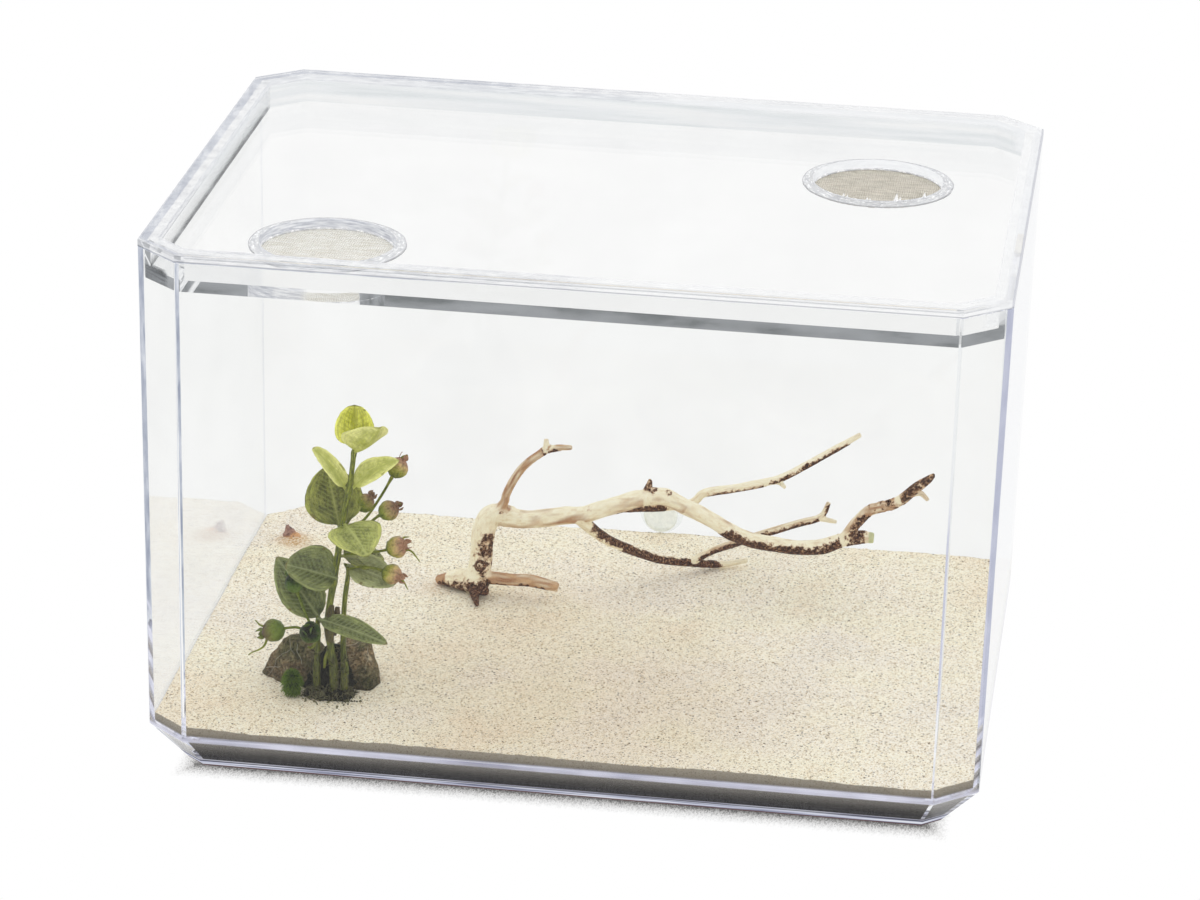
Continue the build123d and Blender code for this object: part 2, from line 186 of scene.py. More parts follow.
class Tree:
    """The node tree of a material or a world, empty but for its output."""

    def __init__(self, owner, output="Material"):
        owner.use_nodes = True
        self.owner = owner
        self.nodes = owner.node_tree.nodes
        self.links = owner.node_tree.links
        self.nodes.clear()
        self.output = self.nodes.new(f"ShaderNodeOutput{output}")

    def add(self, kind, *ordered, settings=(), out=0, **named):
        """Add a node and give one of its outputs. None leaves an input as it is."""
        made = self.nodes.new(f"ShaderNode{kind}")
        for key, value in dict(settings).items():
            setattr(made, key, value)
        for key, value in [*enumerate(ordered), *named.items()]:
            socket = made.inputs[key if isinstance(key, int) else key.replace("_", " ")]
            if isinstance(value, Term):
                self.links.new(value.socket, socket)
            elif value is not None:
                socket.default_value = shade(*value) if socket.type == "RGBA" else value
        return Term(self, made.outputs[out])

    def mix(self, share, first, second, mode="MIX"):
        """Two colours mixed by a share. They are the mix node's seventh and eighth inputs."""
        settings = {"data_type": "RGBA", "blend_type": mode}
        return self.add("Mix", share, *[None] * 5, first, second, settings=settings, out=2)

    def blend(self, share, first, second):
        """Two shaders mixed by a share."""
        return self.add("MixShader", share, first, second)

    def glow(self, tone):
        return self.add("Emission", Color=tone, Strength=1.0)

    def clear(self, *tint):
        return self.add("BsdfTransparent", Color=(*tint, 1))

    def finish(self, shader):
        self.links.new(shader.socket, self.output.inputs["Surface"])
        return self.owner

    @property
    def place(self):
        return self.add("TexCoord", out="Object")

    def axes(self, vector=None):
        """The three coordinates of the place or of another vector."""
        vector = vector or self.place
        return [self.add("SeparateXYZ", vector, out=name) for name in "XYZ"]

    def held(self, name, out="Fac"):
        """What the mesh holds at its points under a name."""
        return self.add("Attribute", settings={"attribute_name": name}, out=out)

    @property
    def flow(self):
        """Coordinates that the mesh holds, such as along and around a limb."""
        return self.held("flow", "Vector")

    def facing(self, name):
        return self.add("NewGeometry", out=name)

    def upright(self):
        """1 on faces that stand upright, 0 on level ones, with a short change between."""
        rise = self.axes(self.facing("Normal"))[2]
        return (1.0 - rise.maths("ABSOLUTE", rise)).rise(0.3, 0.6)

    def streaks(self, across, along):
        """Noise drawn out level with the floor."""
        return self.place.stretched(along, along, across).grain(1.0)

    def ray(self, kind):
        return self.add("LightPath", out=kind)

    def seen_directly(self):
        """1 for rays that show a thing, straight or by glass and gloss, and 0 for those that light it."""
        gloss = self.ray("Is Glossy Ray").highest(self.ray("Is Transmission Ray"))
        return self.ray("Is Camera Ray").highest(gloss)


def new_material(name):
    return Tree(bpy.data.materials.new(name))


def solid(name, looks, *tones):
    """A material of one Principled shader. looks gives its inputs by name."""
    tree = new_material(name)
    return tree.finish(tree.add("BsdfPrincipled", **looks(tree, *tones)))


# Surroundings


def add_floor():
    """A white floor with a painted shadow close round the tank: its paper is painted darker by the foot, in
    fine specks.
    """
    mesh = bpy.data.meshes.new("floor")
    ends = (-floor_reach, floor_reach)
    mesh.from_pydata([(x, y, 0) for y in ends for x in ends], [], [(0, 1, 3, 2)])
    tree = new_material("floor")
    away = tree.axes(tree.add("VectorMath", tree.place, settings={"operation": "ABSOLUTE"}))
    distance = ((away[0] - footprint[0]) * 1.3).highest(away[1] - footprint[1])
    speckle = tree.place.stretched(2600, 1200, 1).cells(1.0, "Color")
    share = (distance + speckle * 0.004).rise(0.003, shadow_reach, shadow_share)
    share = share.maths("POWER", share, shadow_curve)
    # Painted shadow: the paper is darker close to the tank's footprint, and speckled
    white = distance.rise(0.0, 0.008).ramp((0.0, 0.3, 0.285, 0.275, 1), (1.0, 0.88, 0.86, 0.84, 1))
    white = white.tinted(speckle.ramp((0.2, 0.5), (0.5, 0.9), (0.75, 1.1)))
    paper = tree.add("BsdfDiffuse", Color=white)
    lit = tree.blend(share * tree.seen_directly(), paper, tree.glow((1, 1, 1, 1)))
    mesh.materials.append(tree.finish(lit))
    place_in_scene("floor", mesh)


def add_world():
    """Even white light. Glass and gloss see white behind the object and a darker room in front of it."""
    scene.world = bpy.data.worlds.new("studio")
    tree = Tree(scene.world, "World")
    behind = tree.axes(tree.add("TexCoord", out="Generated"))[1]
    room = behind.rise(-0.3, 0.3, darkest_reflection)
    light, shown = [
        tree.add("Background", Color=(1, 1, 1, 1), Strength=strength) for strength in (world_strength, room)
    ]
    tree.finish(tree.blend(tree.seen_directly(), light, shown))


def add_softbox():
    lamp = bpy.data.lights.new("softbox", "AREA")
    lamp.energy = softbox_power
    lamp.size = softbox_size
    softbox = place_in_scene("softbox", lamp)
    softbox.location = softbox_place
    softbox.rotation_euler = softbox_place.to_track_quat("Z", "Y").to_euler()


add_camera()
add_floor()
add_world()
add_softbox()

# Clear plastic

plastic_index = 1.5
mirror_softening = 1.35

# How often light may turn inside the plastic before it shows the painted edge reflection
longest_path = 9
longest_in_rim = 5

# The middle of the right vent's hole. The left one is just as far on the other side of the lid's middle.
vent_place = (0.092, 0.0545, 0.1855)


def clear_plastic(tree, painted_edge_reflection, see_through, blur):
    """Clear moulded plastic. Soft light and lamps pass straight through, so what it shuts in is lit.

    Light that has bounced about inside an edge for long comes out in a painted tone, a painted reflection
    that greys or blues the edge.
    """
    bend = tree.add("BsdfRefraction", Color=see_through, Roughness=blur, IOR=plastic_index)
    polish = tree.place.grain(45).ramp((0.35, 0.0), (0.8, 0.05))
    shine = tree.add("BsdfGlossy", Color=(1, 1, 1, 1), Roughness=polish)
    fresnel = tree.add("Fresnel", IOR=plastic_index)
    glass = tree.blend(fresnel.maths("POWER", fresnel, mirror_softening), bend, shine)
    lighting = tree.ray("Is Shadow Ray").highest(tree.ray("Is Diffuse Ray"))
    lit = tree.blend(lighting, glass, tree.clear(0.97, 0.975, 0.98))
    # Painted reflection: trapped light glows in the edge's painted tone, sooner in the rim
    in_rim = tree.axes()[2].rise(0.1884, 0.1886)
    longest = longest_path - in_rim * (longest_path - longest_in_rim)
    trapped = longest.maths("GREATER_THAN", tree.ray("Ray Depth"), longest)
    return tree.blend(trapped, lit, tree.glow(painted_edge_reflection))


def lid_material():
    """The plate's edge shows a painted grey reflection; the flange, the right rim and the vent holes' walls
    glow nearly white with painted light.
    """
    tree = new_material("clear_lid")
    x, y, z = tree.axes()
    # Painted reflection at the plate's edge: grey, and pale above the plate
    grey = tree.place.grain(26, 5).ramp((0.36, 118, 122, 124), (0.46, 146, 149, 152), (0.6, 160, 163, 167))
    pale = tree.streaks(900, 40).ramp((0.36, 214, 216, 220), (0.55, 247, 248, 249))
    above_plate = z.rise(0.1885, 0.1895)
    painted_edge_reflection = grey.toward(pale, above_plate)
    wall = tree.streaks(500, 15).ramp((0.35, 241, 243, 244), (0.5, 247, 248, 249), (0.7, 252, 252, 252))
    near_front = y.rise(0.0, -0.09)
    wall = wall.toward((253, 253, 253), near_front)
    # Painted shade: a thin dark line along the front of the flange's top
    brim = (z.rise(0.195, 0.1952) - z.rise(0.1955, 0.1957)) * y.rise(0.0, -0.05)
    wall = wall.toward((196, 198, 202), brim)
    # Painted shade: a darker band low on the lid's left wall
    painted_shade_band = z.rise(0.1892, 0.1884) * x.rise(-0.136, -0.138) * y.rise(0.092, 0.088)
    dull = tree.streaks(900, 60).ramp((0.35, 120, 123, 126), (0.65, 205, 207, 209))
    wall = wall.toward(dull, painted_shade_band)
    see_through = tree.place.grain(30).ramp((0.3, 0.985), (0.7, 0.997)).toward(wall, tree.upright())
    blur = tree.place.grain(60).ramp((0.45, 0.0), (0.75, 0.02))
    shader = clear_plastic(tree, painted_edge_reflection, see_through, blur)

    vents = [(way * vent_place[0], way * vent_place[1], vent_place[2]) for way in (-1, 1)]
    apart = {"operation": "DISTANCE"}
    left, right = [tree.add("VectorMath", tree.place, vent, settings=apart, out="Value") for vent in vents]
    in_hole = 1.0 - left.maths("MINIMUM", left, right).rise(0.0244, 0.0246)
    hidden = tree.facing("Backfacing") * x.rise(-0.095, -0.092)
    sawn = in_hole * tree.upright() * (1.0 - hidden)
    # Painted light: the vent holes' walls, the right rim and the flange glow in these pale tones, darker at
    # the outermost right edge
    tone = tree.streaks(1500, 160).ramp((0.38, 196, 198, 206), (0.5, 222, 224, 229), (0.62, 246, 247, 249))
    right_half = x.rise(0.0, 0.01)
    outermost = x.rise(0.1492, 0.1496)
    tone = tone.toward((250, 251, 252), right_half * 0.8).toward((172, 174, 188), outermost)
    right_rim = x.rise(0.139, 0.141) * z.rise(0.1886, 0.1892)
    flange = z.rise(0.1954, 0.1958)
    painted_glow_share = (sawn * 0.8).highest(right_rim * 0.45).highest(flange * 0.35)
    return tree.finish(tree.blend(painted_glow_share * tree.seen_directly(), shader, tree.glow(tone)))


def tank_material():
    """Painted reflections make its edges faintly blue and its foot glow bright, and a soft painted highlight
    lies on the knee above the sloped band.
    """
    tree = new_material("clear_tank")
    x, _, z = tree.axes()
    # Painted reflections in the edges: blue streaks, lavender at the right edge, pale at the rim and in the
    # middle
    blue = tree.streaks(60, 60).ramp((0.36, 150, 157, 176), (0.5, 184, 190, 204), (0.66, 226, 229, 236))
    pale = tree.streaks(900, 30).ramp((0.36, 222, 224, 229), (0.55, 250, 250, 251))
    right_edge = x.rise(0.1455, 0.1462)
    blue = blue.toward((204, 205, 224), right_edge * 0.75)
    middle = x.rise(-0.06, -0.04) - right_edge
    rim = z.rise(0.187, 0.19)
    painted_edge_reflection = blue.toward(pale, rim.highest(middle))
    # Painted highlight on the knee: what is seen through it is tinted lavender and blurred
    knee = z.rise(0.0142, 0.015) - z.rise(0.0155, 0.0166)
    inside = tree.place.grain(30).ramp((0.3, 0.968, 0.97, 0.968, 1), (0.7, 0.984, 0.986, 0.984, 1))
    # Painted shade: what is seen through the wall is darker low down by the floor
    near_floor = z.rise(0.0125, 0.0045)
    inside = inside.toward((186, 182, 178), near_floor * 0.75)
    # Painted shade on the right face: greyer, most of all beside the sand
    beside_sand = z.rise(0.036, 0.018)
    right_face = x.rise(0.1472, 0.1476)
    inside = inside.toward(tree.mix(beside_sand, (240, 242, 244), (204, 207, 203)), right_face)
    see_through = inside.toward((206, 206, 214), knee)
    blur = tree.place.grain(50).ramp((0.5, 0.0), (0.8, 0.015)).highest(knee * 0.3)
    shader = clear_plastic(tree, painted_edge_reflection, see_through, blur)

    # Painted reflection of the white floor: the foot glows bright with lines, with a reddish underside and a
    # dark line
    lines = tree.place.stretched(25, 25, 1400).grain(1.0, 2)
    tone = lines.ramp((0.38, 118, 120, 142), (0.5, 186, 190, 212), (0.62, 236, 239, 248))
    underside = z.rise(0.0009, 0.0005)
    tone = tone.toward((104, 78, 76), underside)
    dark_line = z.rise(0.0026, 0.0029) - z.rise(0.0034, 0.0036)
    tone = tone.toward((66, 66, 72), dark_line * 0.8)
    foot = 1.0 - z.rise(0.0034, 0.0042)
    tone = tree.mix(foot, (232, 232, 247), tone)
    # Painted highlight: a streaked glint along the knee
    glint = tree.streaks(3, 14).ramp((0.38, 0.3), (0.5, 0.6), (0.6, 0.95)) * knee * z.rise(0.0, 0.01)
    share = (foot * 0.85).highest(glint) * tree.seen_directly()
    return tree.finish(tree.blend(share, shader, tree.glow(tone)))


# Other materials


def sand_looks(tree):
    """Pale grains with tan ones among them, and brown-grey painted shade, darker towards the bottom, on the
    sides where the sand meets the wall.
    """
    here = tree.place
    body = here.grain(20, 3).ramp(
        (0.34, 252, 244, 228), (0.46, 255, 252, 238), (0.56, 255, 251, 241), (0.68, 251, 247, 241),
    )
    grains = here.cells(2200, "Color").ramp(
        (0.08, 176, 154, 124), (0.2, 222, 208, 184), (0.36, 247, 240, 226), (0.7, 253, 250, 243),
        (0.95, 255, 255, 253),
    )
    body = body.tinted(grains)
    body = body.tinted(here.cells(1250, "Color").ramp((0.2, 0.88), (0.42, 0.98), (0.6, 1.0)))
    # Darker in a few broad spots
    body = body.tinted((237, 231, 225), tree.held("damp"))
    dark = here.cells(640, "Color").ramp((0.13, 1.0), (0.16, 0.65), (0.34, 0.45), (0.36, 0.0))
    body = body.toward((74, 50, 30), dark * here.cells(640).ramp((0.2, 1.0), (0.33, 0.0)))
    fleck = here.cells(1000, "Color").ramp((0.16, 0.8), (0.24, 0.0))
    body = body.toward((124, 88, 54), fleck * here.cells(1000).ramp((0.22, 1.0), (0.36, 0.0)))
    rust = tree.held("stain") * here.cells(1300, "Color").ramp((0.3, 1.0), (0.7, 0.4))
    body = body.toward((190, 142, 76), rust)
    # Painted shade on the sides against the wall, darker towards the bottom
    height = tree.axes()[2].rise(0.003, 0.0195)
    side = height.ramp(
        (0.0, 10, 9, 9), (0.35, 58, 54, 50), (0.62, 104, 98, 90), (1.0, 160, 153, 140),
    )
    body = body.toward(side.tinted(grains, 0.5), tree.held("side"))
    rough = here.grain(1700, 2) + here.grain(600)
    return dict(Base_Color=body, Roughness=0.92, Normal=rough.bump(0.5, 0.0004))


def grain_looks(tree):
    """Single grains, each of its own shade, from quartz to dark brown."""
    body = tree.held("shade").ramp(
        (0.0, 48, 38, 32), (0.1, 92, 72, 54), (0.26, 166, 140, 106), (0.55, 216, 200, 170),
        (1.0, 244, 238, 224),
    )
    mottle = tree.place.grain(3000).ramp((0.3, 0.4), (0.7, 1.0))
    return dict(Base_Color=body.tinted(mottle, 0.3), Roughness=0.6)


def wood_looks(tree):
    """Bleached wood with tan grain, and what is left of its dark bark."""
    fine = tree.flow.grain(2.2, 6, 0.7)
    wood = fine.ramp(
        (0.26, 218, 196, 156), (0.38, 238, 225, 192), (0.52, 247, 239, 211), (0.75, 252, 247, 226),
    )
    tan = tree.flow.grain(0.9).ramp((0.35, 162, 116, 84), (0.65, 208, 172, 132))
    wood = wood.toward(tan, tree.held("tan"))
    mottle = tree.place.grain(1300, 6, 0.7)
    bark = mottle.ramp((0.36, 24, 10, 6), (0.47, 62, 34, 22), (0.56, 108, 68, 46), (0.64, 202, 164, 124))
    ragged = tree.held("bark") + tree.place.grain(800, 6, 0.75).ramp((0.36, 0.0), (0.64, 0.5))
    wood = wood.toward((190, 142, 100), ragged.ramp((0.4, 0.0), (0.62, 0.75)))
    kept = ragged.ramp((0.6, 0.0), (0.68, 1.0))
    body = wood.toward(bark, kept).toward((200, 202, 156), tree.held("cut"))
    rough = fine + mottle * kept * 2.0
    return dict(
        Base_Color=body, Roughness=0.75, Specular_IOR_Level=0.3, Normal=rough.bump(0.5, 0.0003),
    )


def rock_looks(tree):
    """Rough stone, grey-green with brown on one side, in granules of many shades."""
    here = tree.place
    body = here.grain(110).ramp(
        (0.36, 86, 84, 54), (0.48, 116, 106, 78), (0.58, 124, 105, 77), (0.68, 148, 136, 110),
    )
    granules = here.cells(1300, "Color").ramp((0.15, 0.4), (0.35, 0.78), (0.6, 1.1), (0.8, 1.7))
    body = body.tinted(granules, 0.85)
    # Painted shade: the rock is darker low down where it meets the sand
    off_sand = tree.axes()[2].rise(0.021, 0.031)
    body = body.tinted(off_sand.ramp((0.0, 0.55), (1.0, 1.0)))
    body = body.tinted(here.grain(420, 5, 0.75).ramp((0.38, 0.6), (0.5, 1.0), (0.66, 1.15)))
    body = body.toward((34, 38, 20), tree.held("moss") * 0.85)
    body = body.toward((206, 204, 190), tree.held("fibre"))
    height = here.grain(900) + here.cells(900)
    return dict(
        Base_Color=body, Roughness=0.85, Specular_IOR_Level=0.25, Normal=height.bump(0.8, 0.0006),
    )


def bark_looks(tree):
    """A weathered splinter: purple-brown on its top, orange-tan where it has split."""
    fibres = tree.flow.grain(1.4, 6, 0.7)
    dark = fibres.ramp((0.3, 96, 66, 58), (0.5, 156, 120, 108), (0.7, 204, 168, 148))
    split = fibres.ramp((0.3, 196, 136, 92), (0.6, 230, 186, 138), (0.8, 244, 216, 180))
    share = tree.held("bark") + tree.place.grain(800) * 0.4
    body = split.toward(dark, share.ramp((0.66, 0.0), (0.84, 1.0)))
    pits = tree.place.cells(480).ramp((0.2, 1.0), (0.36, 0.0))
    body = body.toward((58, 36, 28), pits * 0.85)
    return dict(Base_Color=body, Roughness=0.8, Normal=fibres.bump(0.6, 0.0004))


def moss_looks(tree, dark, middle, light):
    """Soft plant matter, darker inside, partly with painted shade, and lighter at the tips."""
    patches = tree.place.grain(420)
    share = tree.held("tip") + patches * 0.6
    body = share.ramp((0.2, *dark), (0.6, *middle), (1.0, *light))
    return dict(
        Base_Color=body, Roughness=0.7, Specular_IOR_Level=0.25, Normal=patches.bump(0.6, 0.0004),
    )


def stem_looks(tree):
    """Olive plastic with fine ridges along it, browner at the foot."""
    fine = tree.flow.grain(1.6, 5)
    green = fine.ramp((0.34, 58, 66, 8), (0.5, 100, 110, 22), (0.66, 158, 162, 58))
    husk = tree.flow.grain(4, 5, 0.8).ramp((0.36, 34, 24, 10), (0.66, 104, 84, 44))
    foot = green.toward((44, 46, 14), 0.62).toward(husk, tree.held("dry"))
    body = green.toward(foot, tree.held("foot"))
    return dict(Base_Color=body, Roughness=0.42, Normal=fine.bump(0.4, 0.0003))


def leaf_looks(tree, blade, lighter, vein, margin, blemish, contrast):
    """Printed leaf plastic: blotched blade, paler veins and a thin coloured margin."""
    blotch = tree.flow.grain(0.3, 5, 0.65)
    reach = tree.axes(tree.flow)[1]
    drawn = tree.add("CombineXYZ", tree.held("lane") * 9.0, reach * 0.16, 0.0)
    fine = drawn.grain(1.0) * 0.65 + tree.flow.grain(2.2, 5, 0.7) * 0.35
    edge = tree.held("edge")
    body = tree.mix((blotch * 1.2 + edge * 0.6).ramp((0.42, 0.0), (0.95, 1.0)), blade, lighter)
    body = body.tinted(fine.ramp((0.38, 0.35), (0.5, 0.95), (0.62, 1.6)), contrast)
    body = body.toward(vein, tree.held("vein") * 0.75)
    body = body.toward(margin, (edge + blotch * 0.5).ramp((1.0, 0.0), (1.25, 0.9)))
    body = body.toward(blemish, tree.held("mark") * 0.8)
    height = fine + tree.held("vein")
    return dict(
        Base_Color=body, Roughness=0.45, Coat_Weight=0.1, Coat_Roughness=0.3,
        Normal=height.bump(0.5, 0.0004),
    )


def bud_looks(tree):
    """Green at the stalk, mauve and pink where it opens, with painted shade in its creases."""
    blotch = tree.place.grain(500)
    share = tree.held("tip") + blotch * 0.5
    fresh = share.ramp(
        (0.3, 98, 108, 24), (0.55, 156, 156, 62), (0.78, 192, 168, 106), (0.92, 182, 147, 108),
        (1.0, 162, 122, 94),
    )
    # Young buds are dark green, darkest where the bud opens: painted shade at the tip
    young = share.ramp((0.25, 112, 134, 62), (0.6, 84, 108, 40), (0.85, 48, 70, 18), (1.0, 16, 28, 4))
    body = fresh.toward(young, tree.held("young"))
    mottle = tree.place.grain(1100, 5, 0.7).ramp((0.36, 0.55), (0.5, 1.0), (0.64, 1.35))
    # Painted shade in the creases between the petals
    body = body.tinted(mottle, 0.7).toward((70, 66, 34), tree.held("crease") * 0.6)
    return dict(
        Base_Color=body, Roughness=0.5, Specular_IOR_Level=0.25, Normal=blotch.bump(0.5, 0.0003),
    )


def wire_looks(tree, dull, bright):
    """Fine steel wire, dulled to a warm grey."""
    fine = tree.place.stretched(140, 700, 300, turn=0.5).grain(1.0, 3)
    return dict(
        Base_Color=fine.ramp((0.35, *dull), (0.65, *bright)), Metallic=0.2,
        Roughness=fine.ramp((0.3, 0.35), (0.7, 0.55)), Normal=fine.bump(0.2, 0.0001),
    )


def glue_material():
    """Dried clear glue: streaks of white and grey that run round the ring."""
    tree = new_material("dried_glue")
    streak = tree.flow.grain(1.0, 6, 0.7)
    tone = streak.ramp(
        (0.32, 140, 143, 150), (0.42, 200, 202, 208), (0.52, 246, 247, 248), (0.7, 255, 255, 255),
    )
    tone = tone.toward((128, 130, 137), tree.held("rim")).toward((255, 255, 255), tree.held("bead"))
    # Painted light: the glue glows faintly in its own tone
    body = tree.add(
        "BsdfPrincipled", Base_Color=tone, Roughness=0.3, Normal=streak.bump(0.6, 0.0004),
        Emission_Color=tone, Emission_Strength=0.15,
    )
    share = streak.ramp((0.35, 0.85), (0.5, 0.4), (0.65, 0.95))
    return tree.finish(tree.blend(share, tree.clear(0.96, 0.96, 0.97), body))


def stopper_material():
    """Milky soft plastic that lets some of the white behind it through, and more by its head."""
    tree = new_material("milky_stopper")
    cloud = tree.place.grain(260)
    tone = cloud.ramp((0.3, 216, 220, 211), (0.7, 236, 238, 231))
    # Painted light: a faint glow in its own tone makes the stopper whiter than its lighting alone
    body = tree.add(
        "BsdfPrincipled", Base_Color=tone, Roughness=0.38, Normal=cloud.bump(0.2, 0.0002),
        Emission_Color=tone, Emission_Strength=0.16,
    )
    head = tree.axes()[1].rise(0.108, 0.1085)
    tint = tree.mix(head, (0.92, 0.94, 0.93, 1), (0.985, 0.99, 0.987, 1))
    share = cloud.ramp((0.3, 0.6), (0.7, 0.8)) * (1.0 - head * 0.9)
    return tree.finish(tree.blend(share, tree.add("BsdfTransparent", Color=tint), body))


# Mesh helpers


def unit(vector):
    vector = np.asarray(vector, float)
    return vector / np.linalg.norm(vector)


def heading(azimuth, elevation):
    """Unit vector from a compass angle about Z, counted from +X, and an angle above level."""
    turn = math.radians(azimuth)
    rise = math.radians(elevation)
    return np.array((math.cos(rise) * math.cos(turn), math.cos(rise) * math.sin(turn), math.sin(rise)))


def turns(count):
    """Even angles all the way round."""
    return np.linspace(0, 2 * math.pi, count, endpoint=False)


def wobble(points, size, seed=0.0):
    """Smooth noise between about -1 and 1 at each point. size is how wide its lumps are."""
    return np.array([noise.noise(Vector(point) / size + Vector((seed, seed, seed))) for point in points])


def step_up(value, low, high):
    """0 below low, 1 above high and smooth between."""
    share = np.clip((value - low) / (high - low), 0, 1)
    return share * share * (3 - 2 * share)


def box_of(name):
    """The middle of a CAD node's box and half its size, in millimetres."""
    low, high = [np.array(corner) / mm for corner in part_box(name)]
    return (low + high) / 2, (high - low) / 2


def finder(points):
    """A function that gives the number of the point nearest to a place."""
    tree = KDTree(len(points))
    for number, point in enumerate(points):
        tree.insert(Vector(point), number)
    tree.balance()
    return lambda place: tree.find(Vector(place))[1]


class Shape:
    """Points, faces and named values at the points of a piece that is being made."""

    def __init__(self, points=(), faces=(), **values):
        self.points = np.zeros((0, 3))
        self.faces = []
        self.values = {}
        self.add(points, faces, **values)

    def add(self, points, faces, **values):
        """Add a part. A value that a part doesn't name is 0 there."""
        points = np.asarray(points, float).reshape(-1, 3)
        before = len(self.points)
        self.faces += [tuple(int(number) + before for number in face) for face in faces]
        self.points = np.vstack([self.points, points])
        for key in self.values | values:
            given = np.asarray(values.get(key, 0), float)
            if given.ndim == 0:
                given = np.full(len(points), given)
            earlier = self.values.get(key, np.zeros((before, *given.shape[1:])))
            self.values[key] = np.concatenate([earlier, given])

    def make(self, name, material, body, slot, *replaced, smooth=True):
        """Make the piece, tie it to its body and hide the CAD nodes that it stands for. slot is not used."""
        mesh = bpy.data.meshes.new(name)
        mesh.from_pydata((self.points * mm).tolist(), [], self.faces)
        for key, value in self.values.items():
            kind, field = ("FLOAT_VECTOR", "vector") if value.ndim == 2 else ("FLOAT", "value")
            held = mesh.attributes.new(key, kind, "POINT")
            held.data.foreach_set(field, value.astype(np.float32).ravel())
        mesh.polygons.foreach_set("use_smooth", [smooth] * len(mesh.polygons))
        mesh.materials.append(material)
        mesh.update()
        piece = place_in_scene(name, mesh)
        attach(piece, body)
        if replaced:
            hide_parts(*replaced)


def net(numbers, flipped=False):
    """Faces between rows of points, given by their numbers. Each row is closed."""
    numbers = np.asarray(numbers)
    beside = np.roll(numbers, -1, axis=1)
    corners = (numbers[:-1], beside[:-1], beside[1:], numbers[1:])
    return np.stack(corners[::-1] if flipped else corners, axis=-1).reshape(-1, 4).tolist()


def fan(centre, ring):
    """Triangles from a point's number to a closed ring of numbers."""
    return [(centre, start, end) for start, end in zip(ring, np.roll(ring, -1))]


def capped(rings, start, end):
    """Points and faces of rings joined into one skin, closed at its ends on two more points."""
    rows, sides = rings.shape[:2]
    numbers = np.arange(rows * sides).reshape(rows, sides)
    faces = net(numbers) + fan(rows * sides, numbers[0][::-1]) + fan(rows * sides + 1, numbers[-1])
    return np.vstack([rings.reshape(-1, 3), [start], [end]]), faces


def smooth_route(points, step):
    """Rows every step or so on a smooth line through the given ones. Columns after x, y, z follow."""
    rows = np.array(points, float)
    padded = np.vstack([2 * rows[0] - rows[1], rows, 2 * rows[-1] - rows[-2]])
    made = []
    for before, start, end, after in zip(padded, padded[1:], padded[2:], padded[3:]):
        count = max(1, round(np.linalg.norm(end[:3] - start[:3]) / step))
        for share in np.arange(count) / count:
            square = (2 * before - 5 * start + 4 * end - after) * share**2
            cube = (3 * start - before - 3 * end + after) * share**3
            made.append((2 * start + (end - before) * share + square + cube) / 2)
    made.append(rows[-1])
    return np.array(made)


def across_line(line):
    """Two unit vectors square to a line at each of its points, turning as little as they can."""
    ahead = np.gradient(line, axis=0)
    ahead /= np.linalg.norm(ahead, axis=1)[:, None]
    guide = np.array((0, 0, 1.0)) if abs(ahead[0][2]) < 0.8 else np.array((0, 1.0, 0))
    sides = []
    for way in ahead:
        guide = unit(guide - way * guide.dot(way))
        sides.append(guide)
    sides = np.array(sides)
    return sides, np.cross(ahead, sides)


def distance_along(line):
    return np.concatenate([[0], np.cumsum(np.linalg.norm(np.diff(line, axis=0), axis=1))])


def tube(shape, line, radii, sides=12, relief=1.0, flat=1.0, **values):
    """A closed tube along a line. relief gives each ring point's radius as a share of the ring's."""
    line = np.asarray(line, float)
    side, other = across_line(line)
    turn = turns(sides)
    reach = np.broadcast_to(radii, len(line))[:, None] * np.broadcast_to(relief, (len(line), sides))
    ring = np.cos(turn)[None, :, None] * side[:, None] * flat + np.sin(turn)[None, :, None] * other[:, None]
    points, faces = capped(line[:, None] + ring * reach[:, :, None], line[0], line[-1])
    flow = np.stack(np.broadcast_arrays(
        np.cos(turn) * 1.5, np.sin(turn) * 1.5, distance_along(line)[:, None] * 0.2,
    ), axis=2)
    for key, value in values.items():
        value = np.asarray(value, float)
        each = np.broadcast_to(value[:, None] if value.ndim == 1 else value, reach.shape)
        values[key] = np.concatenate([each.ravel(), [each[0].mean(), each[-1].mean()]])
    values["flow"] = np.vstack([flow.reshape(-1, 3), flow[0].mean(0), flow[-1].mean(0)])
    shape.add(points, faces, **values)


def remeshed(mesh, voxel, rounds):
    """A mesh made even at voxel millimetres and smoothed, as points in millimetres, normals and faces."""
    welded = bmesh.new()
    welded.from_mesh(mesh)
    bmesh.ops.remove_doubles(welded, verts=welded.verts, dist=0.01 * mm)
    copy = bpy.data.meshes.new("remesh")
    welded.to_mesh(copy)
    welded.free()
    piece = place_in_scene("remesh", copy)
    even = piece.modifiers.new("even", "REMESH")
    even.mode = "VOXEL"
    even.voxel_size = voxel * mm
    soft = piece.modifiers.new("soft", "SMOOTH")
    soft.factor = 0.5
    soft.iterations = rounds
    bpy.context.view_layer.update()
    made = bpy.data.meshes.new_from_object(piece.evaluated_get(bpy.context.evaluated_depsgraph_get()))
    read = []
    for field in ("co", "normal"):
        read.append(np.empty(len(made.vertices) * 3, np.float32))
        made.vertices.foreach_get(field, read[-1])
    points, normals = [values.reshape(-1, 3).astype(float) for values in read]
    faces = [tuple(face.vertices) for face in made.polygons]
    bpy.data.objects.remove(piece)
    for spent in (copy, made):
        bpy.data.meshes.remove(spent)
    return points / mm, normals, faces


